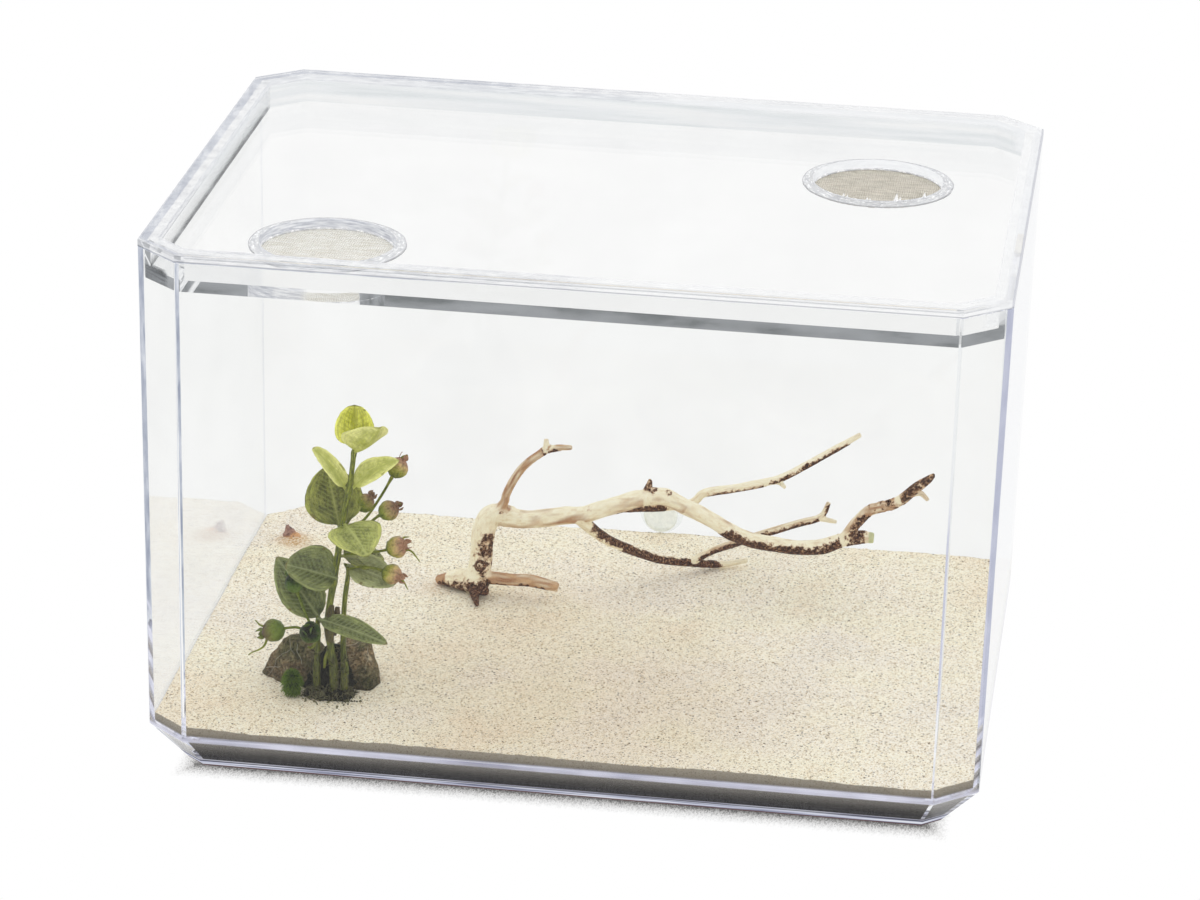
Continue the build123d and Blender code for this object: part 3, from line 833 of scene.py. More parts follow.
def outline_at(name, height):
    """Corners of a CAD node's outline at a height, anticlockwise, in millimetres."""
    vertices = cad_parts[name].data.vertices
    level = [Vector((v.co.x, v.co.y)) / mm for v in vertices if abs(v.co.z / mm - height) < 0.01]
    corners = [np.array(level[i]) for i in geometry.convex_hull_2d(level)]
    kept = []
    for before, corner, after in zip(corners[-1:] + corners, corners, corners[1:] + corners[:1]):
        turn = (corner - before)[0] * (after - corner)[1] - (corner - before)[1] * (after - corner)[0]
        if abs(turn) > 0.5:
            kept.append(corner)
    return np.array(kept)


def sides_of(outline):
    """Each side's first corner and the unit vector that points out of it."""
    for start, end in zip(outline, np.roll(outline, -1, axis=0)):
        out = unit((end[1] - start[1], start[0] - end[0]))
        yield start, out if out.dot(outline.mean(0) - start) < 0 else -out


def depth_inside(x, y, outline):
    """How far places lie inside a convex outline, below zero outside it."""
    depths = [(start[0] - x) * out[0] + (start[1] - y) * out[1] for start, out in sides_of(outline)]
    return np.min(depths, axis=0)


# Sand

sand_spacing = 1.25
dent_depth = 3.2
dent_margin = 1.7
lip_depth = 0.25
grain_count = 5600
least_grain = 0.14
grain_spread = 0.2
grain_margin = 0.8
bedded = ("plant_rock", "plant_base", "bark_chip")
bedded_outlines = [outline_at(name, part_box(name)[0].z / mm) for name in bedded]

# Small heaps and hollows: x, y, radius, height
heaps = [
    (-51, 31, 9, 0.7),
    (-66, 38, 6, 0.6),
    (-82, -56, 22, 0.8),
    (-128, 71, 8, 0.8),
    (20, -20, 45, 0.7),
    (95, -60, 35, -0.6),
    (-20, -70, 30, -0.5),
]

# Rusty tints, and spots where the sand is darker: x, y, radius, strength
stains = [
    (-129, 68, 7, 0.95),
    (-66, 35, 8, 0.3),
    (-112, -84, 26, 0.16),
    (-30, 20, 30, 0.1),
]
darkened_spots = [
    (0, -60, 75, 1.0),
    (-20, 0, 45, 0.1),
]


def sand_rise(x, y):
    """How far the sand stands above its level at places in millimetres."""
    places = np.column_stack([x, y, np.zeros(len(x))])
    rise = 0.9 * wobble(places, 46, 1.3) + 0.35 * wobble(places, 13, 3.1) + 0.16 * wobble(places, 3, 7.7)
    for heap_x, heap_y, radius, height in heaps:
        rise += height * np.exp(-((x - heap_x) ** 2 + (y - heap_y) ** 2) / radius**2)
    return rise


def bed_depth(x, y):
    """How far places lie inside the outline of a thing that is bedded in the sand."""
    return np.max([depth_inside(x, y, outline) for outline in bedded_outlines], axis=0)


def sand_tint(places, spots):
    """How strongly places are tinted by round spots with soft edges."""
    tint = np.zeros(len(places))
    for spot_x, spot_y, radius, strength in spots:
        far = ((places[:, 0] - spot_x) ** 2 + (places[:, 1] - spot_y) ** 2) / radius**2
        tint = np.maximum(tint, strength * np.exp(-(far**1.5)))
    return tint


def side_rows(edge, top, lower):
    """Rows of points under the sand's edge, one for each lower outline, given with its height."""
    runs = np.roll(top, -1, axis=0) - top
    rows = [[] for _ in lower]
    for point in edge:
        shares = np.clip(((point[:2] - top) * runs).sum(1) / (runs**2).sum(1), 0, 1)
        i = np.argmin(np.linalg.norm(top + runs * shares[:, None] - point[:2], axis=1))
        for row, (height, outline) in zip(rows, lower):
            place = outline[i] + (outline[(i + 1) % len(outline)] - outline[i]) * shares[i]
            row.append((*place, height))
    return [np.array(row) for row in rows]


def sand_grid(top):
    """Points and faces of an even grid cut to the top outline, and its edge's points in order."""
    low, high = top.min(0), top.max(0)
    size = high - low
    middle = (low + high) / 2
    columns, rows = [round(length / sand_spacing) for length in size]
    flat = bmesh.new()
    bmesh.ops.create_grid(flat, x_segments=columns, y_segments=rows, size=0.5)
    for vertex in flat.verts:
        vertex.co = Vector((vertex.co.x * size[0] + middle[0], vertex.co.y * size[1] + middle[1], 0))
    for start, out in sides_of(top):
        if min(abs(out)) > 0.1:
            everything = flat.verts[:] + flat.edges[:] + flat.faces[:]
            bmesh.ops.bisect_plane(
                flat, geom=everything, plane_co=(*start, 0), plane_no=(*out, 0), clear_outer=True, dist=1e-4,
            )
    flat.verts.ensure_lookup_table()
    flat.verts.index_update()
    points = np.array([vertex.co for vertex in flat.verts])
    faces = [tuple(v.index for v in face.verts) for face in flat.faces]
    loops = [loop for face in flat.faces for loop in face.loops if len(loop.edge.link_faces) == 1]
    following = {loop.vert.index: loop.link_loop_next.vert.index for loop in loops}
    flat.free()
    edge = [next(iter(following))]
    while following[edge[-1]] != edge[0]:
        edge.append(following[edge[-1]])
    return points, faces, edge


def add_sand(top):
    """The sand layer: a rippled top, a dent under each bedded thing and sides that follow the tank."""
    points, faces, edge = sand_grid(top)
    dent = (bed_depth(points[:, 0], points[:, 1]) > dent_margin).astype(float)
    points[:, 2] = sand_top + sand_rise(points[:, 0], points[:, 1]) * (1 - dent) - dent_depth * dent
    points[edge, 2] += 0.3 * wobble(points[edge], 2.6, 5.5) + 0.35 * wobble(points[edge], 16, 2.5)
    lower = [(height, outline_at("sand_bed", height)) for height in (sand_knee, sand_low)]
    knee, base = side_rows(points[edge], top, lower)
    lip = points[edge] - (0, 0, lip_depth)
    rows = [lip] + [lip + (knee - lip) * s for s in (0.5, 1)]
    rows += [knee + (base - knee) * s for s in (0.25, 0.5, 0.75, 1)]
    numbers = np.arange(len(rows) * len(edge)).reshape(len(rows), -1) + len(points)
    faces += net([edge, *numbers], flipped=True) + [tuple(numbers[-1][::-1])]
    everything = np.vstack([points, *rows])
    side = (np.arange(len(everything)) >= len(points)).astype(float)
    stain = sand_tint(everything, stains) * (1 - side)
    layer = Shape(everything, faces, side=side, stain=stain, damp=sand_tint(everything, darkened_spots))
    layer.make("sand_layer", solid("sand", sand_looks), "root", "sand", "sand_bed")


def add_grains(top):
    """Loose grains on the surface, as small irregular shards."""
    low, high = top.min(0), top.max(0)
    x = draw.uniform(low[0], high[0], grain_count)
    y = draw.uniform(low[1], high[1], grain_count)
    keep = (depth_inside(x, y, top) > grain_margin) & (bed_depth(x, y) <= -0.6)
    x, y = x[keep], y[keep]
    count = len(x)
    size = least_grain + grain_spread * draw.random(count) ** 2.5
    corners = np.array([(1, 0, 0), (0, 1, 0), (-1, 0, 0), (0, -1, 0), (0, 0, 1), (0, 0, -1)], float)
    turn = draw.uniform(0, math.pi, count)[:, None]
    shards = corners * draw.uniform(0.6, 1.3, (count, 6, 1)) * size[:, None, None] * (1, 1, 0.7)
    spun = shards.copy()
    spun[:, :, 0] = shards[:, :, 0] * np.cos(turn) - shards[:, :, 1] * np.sin(turn)
    spun[:, :, 1] = shards[:, :, 0] * np.sin(turn) + shards[:, :, 1] * np.cos(turn)
    points = spun + np.column_stack([x, y, sand_top + sand_rise(x, y) + size * 0.25])[:, None]
    pattern = np.array(fan(4, np.arange(4)) + fan(5, np.arange(4)[::-1]))
    faces = (pattern + np.arange(count)[:, None, None] * 6).reshape(-1, 3)
    shard_shades = np.repeat(draw.random(count), 6)
    grains = Shape(points, faces, shade=shard_shades)
    grains.make("sand_grains", solid("sand_grains", grain_looks), "root", "sand", smooth=False)


sand_outline = outline_at("sand_bed", sand_top)
add_sand(sand_outline)
add_grains(sand_outline)

# Driftwood limbs, as points about the foot of the branch: x, y, height above the sand, diameter
limbs = {
    "trunk": [
        (-1, 0, 3.5, 9), (0, 1, 9.5, 8.6), (0.3, 2, 19, 8.3), (1.5, 3, 27, 8.4), (4.5, 4, 31.5, 8),
        (12, 5, 31, 7),
    ],
    "left_root": [(0, 0.5, 5.4, 10), (-6, 2, 5, 8.6), (-12, 4, 3.6, 5.6), (-17.3, 6, 2, 3)],
    "front_root": [(-0.5, 0, 4, 7), (-0.8, -5.5, 2.8, 3.4), (1.4, -13, 1.2, 1.1)],
    "right_root": [(-0.5, 0, 4, 7), (1.6, -3.6, 3.6, 3.8), (3.6, -6, 3.8, 2.8)],
    "side_stub": [(0, 0, 7.5, 5), (11, -2, 8, 4.4), (21, -4, 9, 4.2), (31, -6, 8, 3.6)],
    "main_limb": [
        (4.5, 4, 31.5, 7.6), (15.5, 5, 30, 6.8), (29, 6, 32, 6.4), (38, 7, 33, 6.2), (49, 8, 37, 6.2),
        (59, 9, 40.2, 6.4), (67, 10, 41.5, 6.6), (75, 11, 38.5, 6), (87, 12, 32.3, 5.8), (94, 13, 28, 5.6),
        (102, 14, 25, 5.5), (113, 15, 23.3, 5.3), (126, 16, 23.2, 5.3), (135, 17, 26.2, 5),
        (142, 18, 28, 4.6), (147.5, 18, 28, 4),
    ],
    "top_twig": [
        (5, 4, 31, 4), (8.5, 3.5, 37, 3.1), (9.5, 3, 41, 3), (15, 0, 52, 3), (22, -2, 59.5, 2.8),
        (26, -3, 63, 2.9),
    ],
    "top_twig_end": [(25, -2.8, 62.2, 2.6), (30, -3.5, 63.6, 2.2), (35, -4, 64.2, 1.8)],
    "top_twig_nub": [(25, -3, 62.4, 2.4), (25, -3, 66.5, 1.6)],
    "spike": [(62, 9, 40.5, 4.4), (62.5, 9, 45, 2.6), (63.2, 9, 48.8, 0.9)],
    "rising_limb": [
        (136, 17, 26.4, 4.4), (141, 16, 35, 3.9), (146, 14, 41, 3.9), (154, 12, 44.7, 3.8),
        (158, 11, 47.6, 3.7), (163, 9, 53.5, 3.4), (167, 8.3, 57, 2.6), (169.5, 8, 59.6, 0.9),
    ],
    "rising_twig": [(157, 11, 47.2, 2.6), (163.5, 13, 49.8, 2.2), (167.5, 14, 46.5, 1.4)],
    "rear_limb": [
        (50, 9, 36.6, 4), (64, 16, 34.6, 3.2), (77, 22, 34.6, 3), (82.5, 24, 38.8, 3), (95, 29, 40, 3),
        (109, 34, 42.6, 2.8), (120, 38, 48.2, 2.6), (130, 41, 54, 2.4), (139, 43, 59.6, 1.9),
    ],
    "rear_twig": [(104, 32, 41.6, 2.2), (109, 34.5, 41, 1.9), (112, 32, 40, 1.4)],
    "lower_limb": [
        (37, 7, 31.5, 5.2), (40, 9, 27.5, 4.4), (46, 14, 20.7, 3.6), (56, 21, 13.8, 3.2),
        (65.5, 30, 7.4, 3), (78, 38.5, 3.4, 2.8), (88, 43.5, 1.5, 2.4), (97.5, 46, 3, 1.8),
    ],
    "lower_twig": [
        (76, 37.5, 3.8, 2.6), (84.5, 37.5, 9.5, 2.6), (94, 36, 14.3, 2.7), (104, 38, 18, 2.7),
        (117, 40, 22.5, 2.6), (125, 42, 25, 2.2), (128, 43, 31, 1.5),
    ],
    "lower_twig_end": [(123.5, 41.8, 24.6, 2.2), (131.5, 42, 23.4, 1.5)],
}

# Where bark is left: limb, from and to as shares of its length, the way it faces, how much it covers
under = (0, -0.3, -1)
around = None
bark_runs = [
    ("trunk", 0.16, 0.62, (0.75, -0.7, 0.1), -0.36),
    ("left_root", -0.3, 0.95, (0, -0.5, -1), -0.2),
    ("front_root", 0.2, 1.4, around, 0.45),
    ("right_root", 0.2, 1.4, around, 0.45),
    ("side_stub", 0.0, 0.2, under, 0.05),
    ("side_stub", 0.2, 0.9, under, -0.4),
    ("main_limb", 0.61, 0.92, under, 0.2),
    ("main_limb", 0.91, 0.985, around, 0.34),
    ("top_twig", 0.9, 1.0, around, 0.15),
    ("top_twig_end", 0.0, 0.5, under, 0.1),
    ("spike", 0.35, 1.0, around, 0.3),
    ("rising_limb", 0.0, 0.35, under, -0.15),
    ("rising_limb", 0.3, 0.62, around, 0.02),
    ("rising_limb", 0.6, 1.2, around, 0.3),
    ("rear_limb", 0.0, 0.2, (0, -1, -0.5), -0.05),
    ("rear_limb", 0.35, 0.6, under, -0.25),
    ("rear_limb", 0.6, 0.95, under, 0.1),
    ("lower_limb", 0.06, 0.35, (0.3, -0.4, 0.8), 0.0),
    ("lower_limb", 0.3, 0.86, (0, -0.8, -0.2), 0.3),
    ("lower_twig", 0.05, 0.9, under, 0.1),
    ("lower_twig", 0.9, 1.0, (1, 0, 0), 0.0),
]

# How tan each limb is, where it isn't bleached
tan_limbs = {
    "side_stub": 1.1, "top_twig": 0.95, "top_twig_end": 0.8, "top_twig_nub": 0.8, "spike": 0.8,
    "rising_limb": 0.75, "rising_twig": 0.5, "right_root": 0.5, "front_root": 0.4, "lower_twig": 0.35,
}

# Knots: where, about the foot of the branch, their radius and how dark they are
knots = [
    ((0.6, -3.6, 13), 2.1, 0.95),
    ((70.5, 8.2, 44.6), 1.5, 0.45),
    ((8, 0.4, 34.2), 1.2, 0.35),
    ((41, 5.2, 36.2), 1.0, 0.25),
    ((0.8, -2.9, 4.4), 1.7, 0.8),
]
wood_voxel = 0.55
route_step = 0.8
limb_sides = 20
cut_from = 0.985
root_tip_from = 0.72


def add_limb(shape, number, points):
    """A gnarled tube, and close points along it: place, distance, whole length and cross axes."""
    line = smooth_route(points, route_step)
    middle = line[:, :3] + branch_place
    along = distance_along(line[:, :3])
    ring = [(math.cos(turn) * 0.9, math.sin(turn) * 0.9) for turn in turns(limb_sides)]
    places = [Vector((*way, far / 9 + number * 5)) for far in along for way in ring]
    relief = [1 + 0.16 * noise.noise(place) + 0.06 * noise.noise(place * 3.1) for place in places]
    tube(shape, middle, line[:, 3] / 2 + 0.12, limb_sides, np.reshape(relief, (-1, limb_sides)))
    return zip(middle, along, np.full(len(along), along[-1]), *across_line(line[:, :3]))


def bark_at(name, place, normal, share, whole):
    """How much bark is left at a place on a limb, above 0.5 where it shows."""
    lumps = 0.35 * noise.noise(place / 4.5) + 0.35 * noise.noise(place / 1.3)
    kept = 0
    for limb, start, end, facing, cover in bark_runs:
        inside = min(share - start, end - share) * whole / 2.5
        if limb == name and inside >= -1:
            turned = normal.dot(unit(facing)) * 0.75 if facing else 0
            kept = max(kept, cover + turned + lumps + min(inside, 0.6) - 0.4)
    return kept


def add_driftwood():
    """One skin over all limbs, with grain, knots and what is left of the bark."""
    shape = Shape()
    samples = []
    for number, (name, limb) in enumerate(limbs.items()):
        samples += [(number, name, *sample) for sample in add_limb(shape, number, limb)]
    rough = bpy.data.meshes.new("limbs")
    rough.from_pydata((shape.points * mm).tolist(), [], shape.faces)
    points, normals, faces = remeshed(rough, wood_voxel, rounds=3)
    nearest = finder([sample[2] for sample in samples])
    flow = np.zeros((len(points), 3))
    bark, tan, cut = np.zeros((3, len(points)))
    for i, (point, normal) in enumerate(zip(points, normals)):
        number, name, centre, along, whole, side, other = samples[nearest(point)]
        out = point - centre
        angle = math.atan2(out.dot(other), out.dot(side))
        flow[i] = (math.cos(angle) * 1.5, math.sin(angle) * 1.5, along * 0.16 + number * 7)
        share = along / whole
        streak = noise.noise(Vector(flow[i]) * 1.1 + Vector((9, 4, 2)))
        tan[i] = max(0, tan_limbs.get(name, 0.0) + 0.9 * streak - 0.12) * step_up(along, 2.5, 6)
        if name == "main_limb" and share < 0.5:
            below = normal.dot(unit((0, -0.8, -0.8)))
            tan[i] = max(tan[i], 0.75 * below + 1.1 * streak - 0.25)
        if name == "left_root" and share > root_tip_from:
            tan[i] = 1
        cut[i] = name == "main_limb" and share > cut_from
        if not cut[i]:
            bark[i] = bark_at(name, Vector(point), normal, share, whole)
    relief = 0.22 * step_up(bark, 0.15, 0.4)
    relief += 0.07 * wobble(flow * (2.4, 2.4, 1.2), 1.0) + 0.05 * wobble(points, 1.1, 5.0)
    for place, radius, dark in knots:
        far = np.linalg.norm(points - (np.array(place) + branch_place), axis=1) / radius
        relief += 0.45 * np.exp(-(far**2)) - 0.35 * np.exp(-((far / 0.4) ** 2))
        rings = (0.5 + 0.5 * np.cos(far * 7)) * (far < 1.5)
        bark = np.maximum(bark, dark * np.maximum(rings, np.exp(-((far / 0.45) ** 2))))
    skin = Shape(
        points + normals * relief[:, None], faces,
        flow=flow, bark=np.clip(bark, 0, 1), tan=np.clip(tan, 0, 1), cut=cut,
    )
    skin.make("driftwood_branch", solid("driftwood", wood_looks), "driftwood", "driftwood", "driftwood")


add_driftwood()

# Stems, each as points from its foot up: x, y, height above the sand, diameter
stems = {
    "stem_main": [
        (2.2, -4.4, 1.5, 2.9), (2.2, -4.4, 10, 2.9), (0.8, -4, 20, 2.8), (-0.5, -2, 30, 2.7),
        (1.5, 2, 48.5, 2.6), (3.5, 3.5, 64.5, 2.4), (6, 4, 79.5, 2.1), (7.6, 4, 94, 1.7),
    ],
    "stem_second": [
        (5.9, -4.2, 1.5, 2.3), (5.9, -4.2, 10, 2.3), (4.6, 0, 22, 2.1), (4.2, 4.5, 34, 2),
        (5.2, 6, 45.5, 1.7), (3.8, 5.6, 48.6, 1.4),
    ],
    "stem_third": [
        (-4.2, -4.2, 1.5, 2.2), (-4.2, -4.2, 10, 2.2), (-4, -3.5, 20, 2), (-4.5, -1.5, 30.5, 1.6),
    ],
}
stem_swell = 0.25
stem_sides = 18

# Broken ends of twigs that stand out from a stem: their points, and how brown and dry they are
sprigs = {
    "stem_main": [
        ([(0.6, -3.9, 21, 2.6), (0.2, -3.2, 26, 3.8), (0.2, -2.4, 31, 3.4), (0.6, -1.4, 35, 2)], 0.85),
        ([(1.6, -3, 24, 2.2), (2.4, -1.6, 29, 3), (2.6, -0.4, 34, 1.6)], 1.0),
        ([(0.8, -4, 19, 1.8), (-0.6, -5, 16, 1.5), (-1.2, -5.6, 12, 0.8)], 0.1),
    ],
    "stem_second": [([(5.2, -2.2, 16, 1.8), (6.6, -4, 13, 1.4), (7.4, -5, 10, 0.8)], 0.1)],
    "stem_third": [([(-4, -3.4, 21, 1.6), (-6, -4.2, 19, 1.3), (-7.4, -4.8, 19.6, 0.7)], 0.1)],
}

# Rock, bark chip, the plant's mossy clump and the green tuft

rock_fibres = 9
rock_fibre_radius = 0.05
rock_valley = plant_place[0] + 1
moss_blades = 1300
moss_blade_radii = (0.16, 0.16, 0.13, 0.03)
fibre_count = 420
clump_squash = 0.55
crumb_count = 260
strewn_share = 0.6
climbing_fibres = 70
fibre_steps = 5
fibre_gap = 0.25
fibre_radii = np.linspace(0.18, 0.06, fibre_steps + 1)
climbing_fibre_radii = np.linspace(0.16, 0.05, fibre_steps + 1)
pale_share = 0.16

# The mound, as points about the plant's place: x, y, height above the sand, radius
mound_points = [(0.6, -0.6, 0, 8.5), (0.6, -0.4, 7, 7.5), (0.8, 0, 13, 5.6), (1.2, 0.4, 19, 2)]
mound_sides = 40


def remeshed_node(name, voxel, rounds):
    return remeshed(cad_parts[name].data, voxel, rounds)


def above_sand(line, gap):
    """A line with nothing lower than a gap above the sand."""
    line = np.array(line)
    line[:, 2] = np.maximum(line[:, 2], sand_top + gap)
    return line


def wander(start, way, spread, pull, least, most):
    """A line that turns at random as it goes, and is pulled the same way at each step."""
    line = [start]
    for _ in range(fibre_steps):
        way = unit(way + draw.normal(0, spread, 3) - pull)
        line.append(line[-1] + way * draw.uniform(least, most))
    return above_sand(line, fibre_gap)


def add_rock():
    points, normals, faces = remeshed_node("plant_rock", voxel=0.7, rounds=8)
    relief = 0.75 * wobble(points, 5, 2.2) + 0.35 * wobble(points, 2.1, 4.4)
    relief -= 0.5 * np.abs(wobble(points, 3.1, 9.3))
    points = points + normals * relief[:, None]
    shape = Shape(points, faces, fibre=0)
    nearest = finder(points)
    front = np.flatnonzero((normals[:, 1] < -0.3) & (points[:, 2] > sand_top + 2))
    for _ in range(rock_fibres):
        i = front[draw.integers(len(front))]
        place = points[i]
        way = unit(np.cross(normals[i], draw.normal(0, 1, 3)))
        line = []
        for _ in range(draw.integers(6, 12)):
            i = nearest(place)
            line.append(points[i] + normals[i] * 0.16)
            way = unit(way + draw.normal(0, 0.18, 3))
            place = points[i] + way * 1.3
        tube(shape, smooth_route(line, 0.5), rock_fibre_radius, sides=4, fibre=draw.uniform(0.4, 1.0))
    x, y, _ = shape.points.T
    valley = np.exp(-(((x - rock_valley) / 7) ** 2))
    shape.values["moss"] = np.clip(valley * 1.3 * step_up(-y, 62, 68), 0, 1)
    shape.make("rock_lumps", solid("rock", rock_looks), "plant", "rock", "plant_rock")


def add_chip():
    """The half-buried splinter, dark on its high side, with fibres that run along it."""
    points, normals, faces = remeshed_node("bark_chip", voxel=0.32, rounds=4)
    low, high = points.min(0), points.max(0)
    flow = (points - low) * (0.5, 2.4, 2.4)
    relief = 0.3 * wobble(flow, 1.2) + 0.8 * wobble(points, 2.3, 3.3) - 0.3 * np.abs(wobble(points, 1.2, 6.3))
    points = points + normals * relief[:, None]
    dark = (high[0] - points[:, 0]) / (high[0] - low[0]) * 0.6 + (points[:, 2] - sand_top) / 9
    splinter = Shape(points, faces, flow=flow, bark=np.clip(dark, 0, 1))
    splinter.make("bark_splinter", solid("bark", bark_looks), "root", "bark", "bark_chip")


def add_mound(shape):
    """The dark mound between the rock's lobes."""
    mound = smooth_route(mound_points, 0.8)
    places = [(math.cos(t) * 5, math.sin(t) * 5, row[2]) for row in mound for t in turns(mound_sides)]
    lumps = 1 + (0.3 * wobble(places, 3.2, 4) + 0.22 * wobble(places, 1.3, 2)).reshape(len(mound), -1)
    # Painted shade: lighter on the lumps and darker between them
    tip = np.clip(0.9 * (lumps - 0.95), 0, 1)
    tube(shape, mound[:, :3] + plant_place, mound[:, 3], mound_sides, lumps, flat=0.42, tip=tip)


def add_crumb(shape, place):
    centre = place + draw.normal(0, 0.5, 3) * (1, 1, 0.3)
    size = draw.uniform(0.25, 0.6)
    if draw.random() < strewn_share:
        centre = place + draw.normal(0, 2.4, 3)
        centre[2] = sand_top + sand_rise(centre[:1], centre[1:2])[0] + 0.1
    line = centre + np.outer(np.linspace(-0.9, 0.9, 4), draw.normal(0, 1, 3) * 0.4 * size + (0.01, 0, 0))
    tube(shape, line, size * np.array((0.4, 1, 0.9, 0.3)), sides=6, tip=draw.uniform(0.2, 1.6))


def add_climbing_fibre(shape, row):
    """A fibre that stands out from a stem at one row of its line."""
    turn = draw.uniform(0, 2 * math.pi)
    out = np.array((math.cos(turn), math.sin(turn), 0))
    way = unit(out * 0.5 + (0, 0, 1) + draw.normal(0, 0.5, 3))
    start = row[:3] + plant_place + out * row[3] / 2
    line = wander(start, way, spread=0.4, pull=out * 0.25, least=0.5, most=1.1)
    tube(shape, line, climbing_fibre_radii, sides=4, tip=draw.uniform(0.1, 1.1))


def add_clump():
    """Dark matted moss with fibres and crumbs in it."""
    points, normals, faces = remeshed_node("plant_base", voxel=0.6, rounds=3)
    rough = 0.9 * wobble(points, 3.2, 1.5) + 0.7 * wobble(points, 1.3, 6.1)
    points = points + normals * rough[:, None]
    above = np.maximum(points[:, 2] - sand_top, 0)
    points[:, 2] -= above * (1 - clump_squash) * (1 + 0.8 * wobble(points, 2.2, 8.8))
    # Painted shade: lighter on the clump's bumps and darker in its hollows
    shape = Shape(points, faces, tip=np.clip(0.25 + 0.5 * rough, 0, 1))
    add_mound(shape)
    open_sides = np.flatnonzero((points[:, 2] > sand_top + 0.4) & (normals[:, 2] > -0.2))
    for _ in range(fibre_count):
        i = open_sides[draw.integers(len(open_sides))]
        way = unit(normals[i] * 0.5 + draw.normal(0, 0.7, 3) + (0, 0, 0.15))
        start = points[i] - normals[i] * 0.3
        line = wander(start, way, spread=0.35, pull=normals[i] * 0.12, least=0.4, most=0.9)
        pale = draw.random() < pale_share
        tip = 2.0 if pale else draw.uniform(0.1, 0.9)
        tube(shape, line, fibre_radii, sides=4, tip=tip)
    for _ in range(crumb_count):
        add_crumb(shape, points[open_sides[draw.integers(len(open_sides))]])
    for stem in stems.values():
        route = smooth_route(stem, 0.5)
        low_part = route[(route[:, 2] > 2) & (route[:, 2] < 19)]
        for _ in range(climbing_fibres):
            add_climbing_fibre(shape, low_part[int(len(low_part) * draw.random() ** 1.6)])
    looks = solid("dark_moss", moss_looks, (9, 9, 3), (32, 32, 13), (118, 114, 84))
    shape.make("matted_clump", looks, "plant", "dark_moss", "plant_base")


def add_moss():
    """The green tuft: a soft core under several hundred curved blades."""
    middle, half = box_of("moss_tuft")
    points, _, faces = remeshed_node("moss_tuft", voxel=0.5, rounds=4)
    shape = Shape(middle + (points - middle) * (0.6, 0.7, 0.7), faces, tip=0.1)
    for _ in range(moss_blades):
        way = unit(draw.normal(0, 1, 3) * (1, 1, 0.9) + (0, 0, 0.35))
        start = middle + way * half * (0.5, 0.6, 0.62)
        length = draw.uniform(1.2, 3.1)
        droop = np.array((0, 0, -0.35))
        line = above_sand([start + (way + droop * s) * length * s for s in np.linspace(0, 1, 4)], 0.1)
        lift = draw.uniform(-0.3, 0.5)
        tube(shape, line, moss_blade_radii, sides=3, tip=np.linspace(0.1, 0.75, 4) + lift)
    looks = solid("green_moss", moss_looks, (16, 30, 4), (50, 78, 16), (104, 130, 42))
    shape.make("moss_blades", looks, "plant", "green_moss", "moss_tuft")


add_rock()
add_chip()
add_clump()
add_moss()

# Leaves and buds. A leaf starts at a gap from its stem, and its foot is sunk back towards it.

leaf_gap = 0.3
cad_leaf_thickness = 0.7
leaf_thickness = 0.5
leaf_sunk = 0.5
leaf_cells = (60, 25)
petiole_share = 0.08
petiole_width = 1.3
tip_half_width = 0.12
vein_gap = 1.9
stalk_radius = 0.5

# Leaves: stem, height above the sand, way out and way its top faces as (azimuth, elevation),
# then length, width, droop, fold, finish, and how pointed it is, 1 at most
leaves = {
    "leaf_crown_back": ("stem_main", 93.5, (100, 76), (-80, 20), 15.2, 14, -15, 18, "crown", 0.38),
    "leaf_crown_front": ("stem_main", 92.5, (-44, 26), (112, 58), 18, 18, -42, 30, "lime", 0.5),
    "leaf_upper_left": ("stem_main", 77.5, (162, 54), (-30, 30), 18.5, 8.6, 20, 18, "lime", 0.42),
    "leaf_upper_right": ("stem_main", 78.5, (-8, 54), (-110, 45), 19.5, 9.4, 62, 22, "lime", 0.7),
    "leaf_large_left": ("stem_main", 62, (122, 56), (-75, 30), 23, 21, 10, 10, "dark", 0.6),
    "leaf_middle_right": ("stem_main", 65, (-52, -5), (-80, 75), 18, 20, 30, 12, "bright", 0.72),
    "leaf_middle_back": ("stem_main", 52, (40, -10), (-90, 50), 19, 13, 15, 12, "dark", 0.6),
    "leaf_lower_right": ("stem_second", 48, (-14, -6), (-90, 50), 18.5, 12.5, 26, 15, "pale", 0.6),
    "leaf_middle_left": ("stem_main", 44, (-166, 20), (-80, 50), 19, 18, 10, 26, "grey", 0.55),
    "leaf_lower_left": ("stem_third", 28, (145, 38), (-70, 25), 29.5, 16, 5, 12, "grey", 0.74),
    "leaf_low_right": ("stem_main", 27, (-24, 0), (-80, 60), 29.5, 9, 12, 18, "grey", 0.62),
}

# Leaf stalks that leave from in front of their stem, beside it or from another: their shift from its side
leaf_shifts = {
    "leaf_middle_left": (3, -1.1, 0.6),
    "leaf_low_right": (-5, -0.2, 3),
    "leaf_lower_left": (2.5, -1, 0.5),
}

# Finishes: blade, its lighter parts, veins, margin, blemishes and how strongly the blade is streaked
leaf_finishes = {
    "crown": ((192, 194, 48), (244, 244, 118), (160, 160, 36), (248, 248, 176), (88, 86, 18), 0.6),
    "lime": ((174, 180, 66), (238, 238, 150), (180, 186, 88), (246, 246, 184), (156, 154, 60), 0.35),
    "bright": ((104, 114, 36), (188, 192, 104), (190, 196, 116), (226, 226, 130), (116, 120, 36), 0.6),
    "dark": ((60, 66, 4), (146, 150, 66), (166, 170, 92), (186, 188, 80), (96, 74, 16), 0.95),
    "grey": ((60, 70, 22), (134, 142, 82), (158, 166, 112), (182, 184, 76), (108, 84, 26), 0.95),
    "pale": ((116, 122, 66), (178, 182, 128), (182, 186, 138), (212, 214, 124), (108, 88, 30), 0.7),
}
yellow_finishes = ("crown", "lime", "bright")


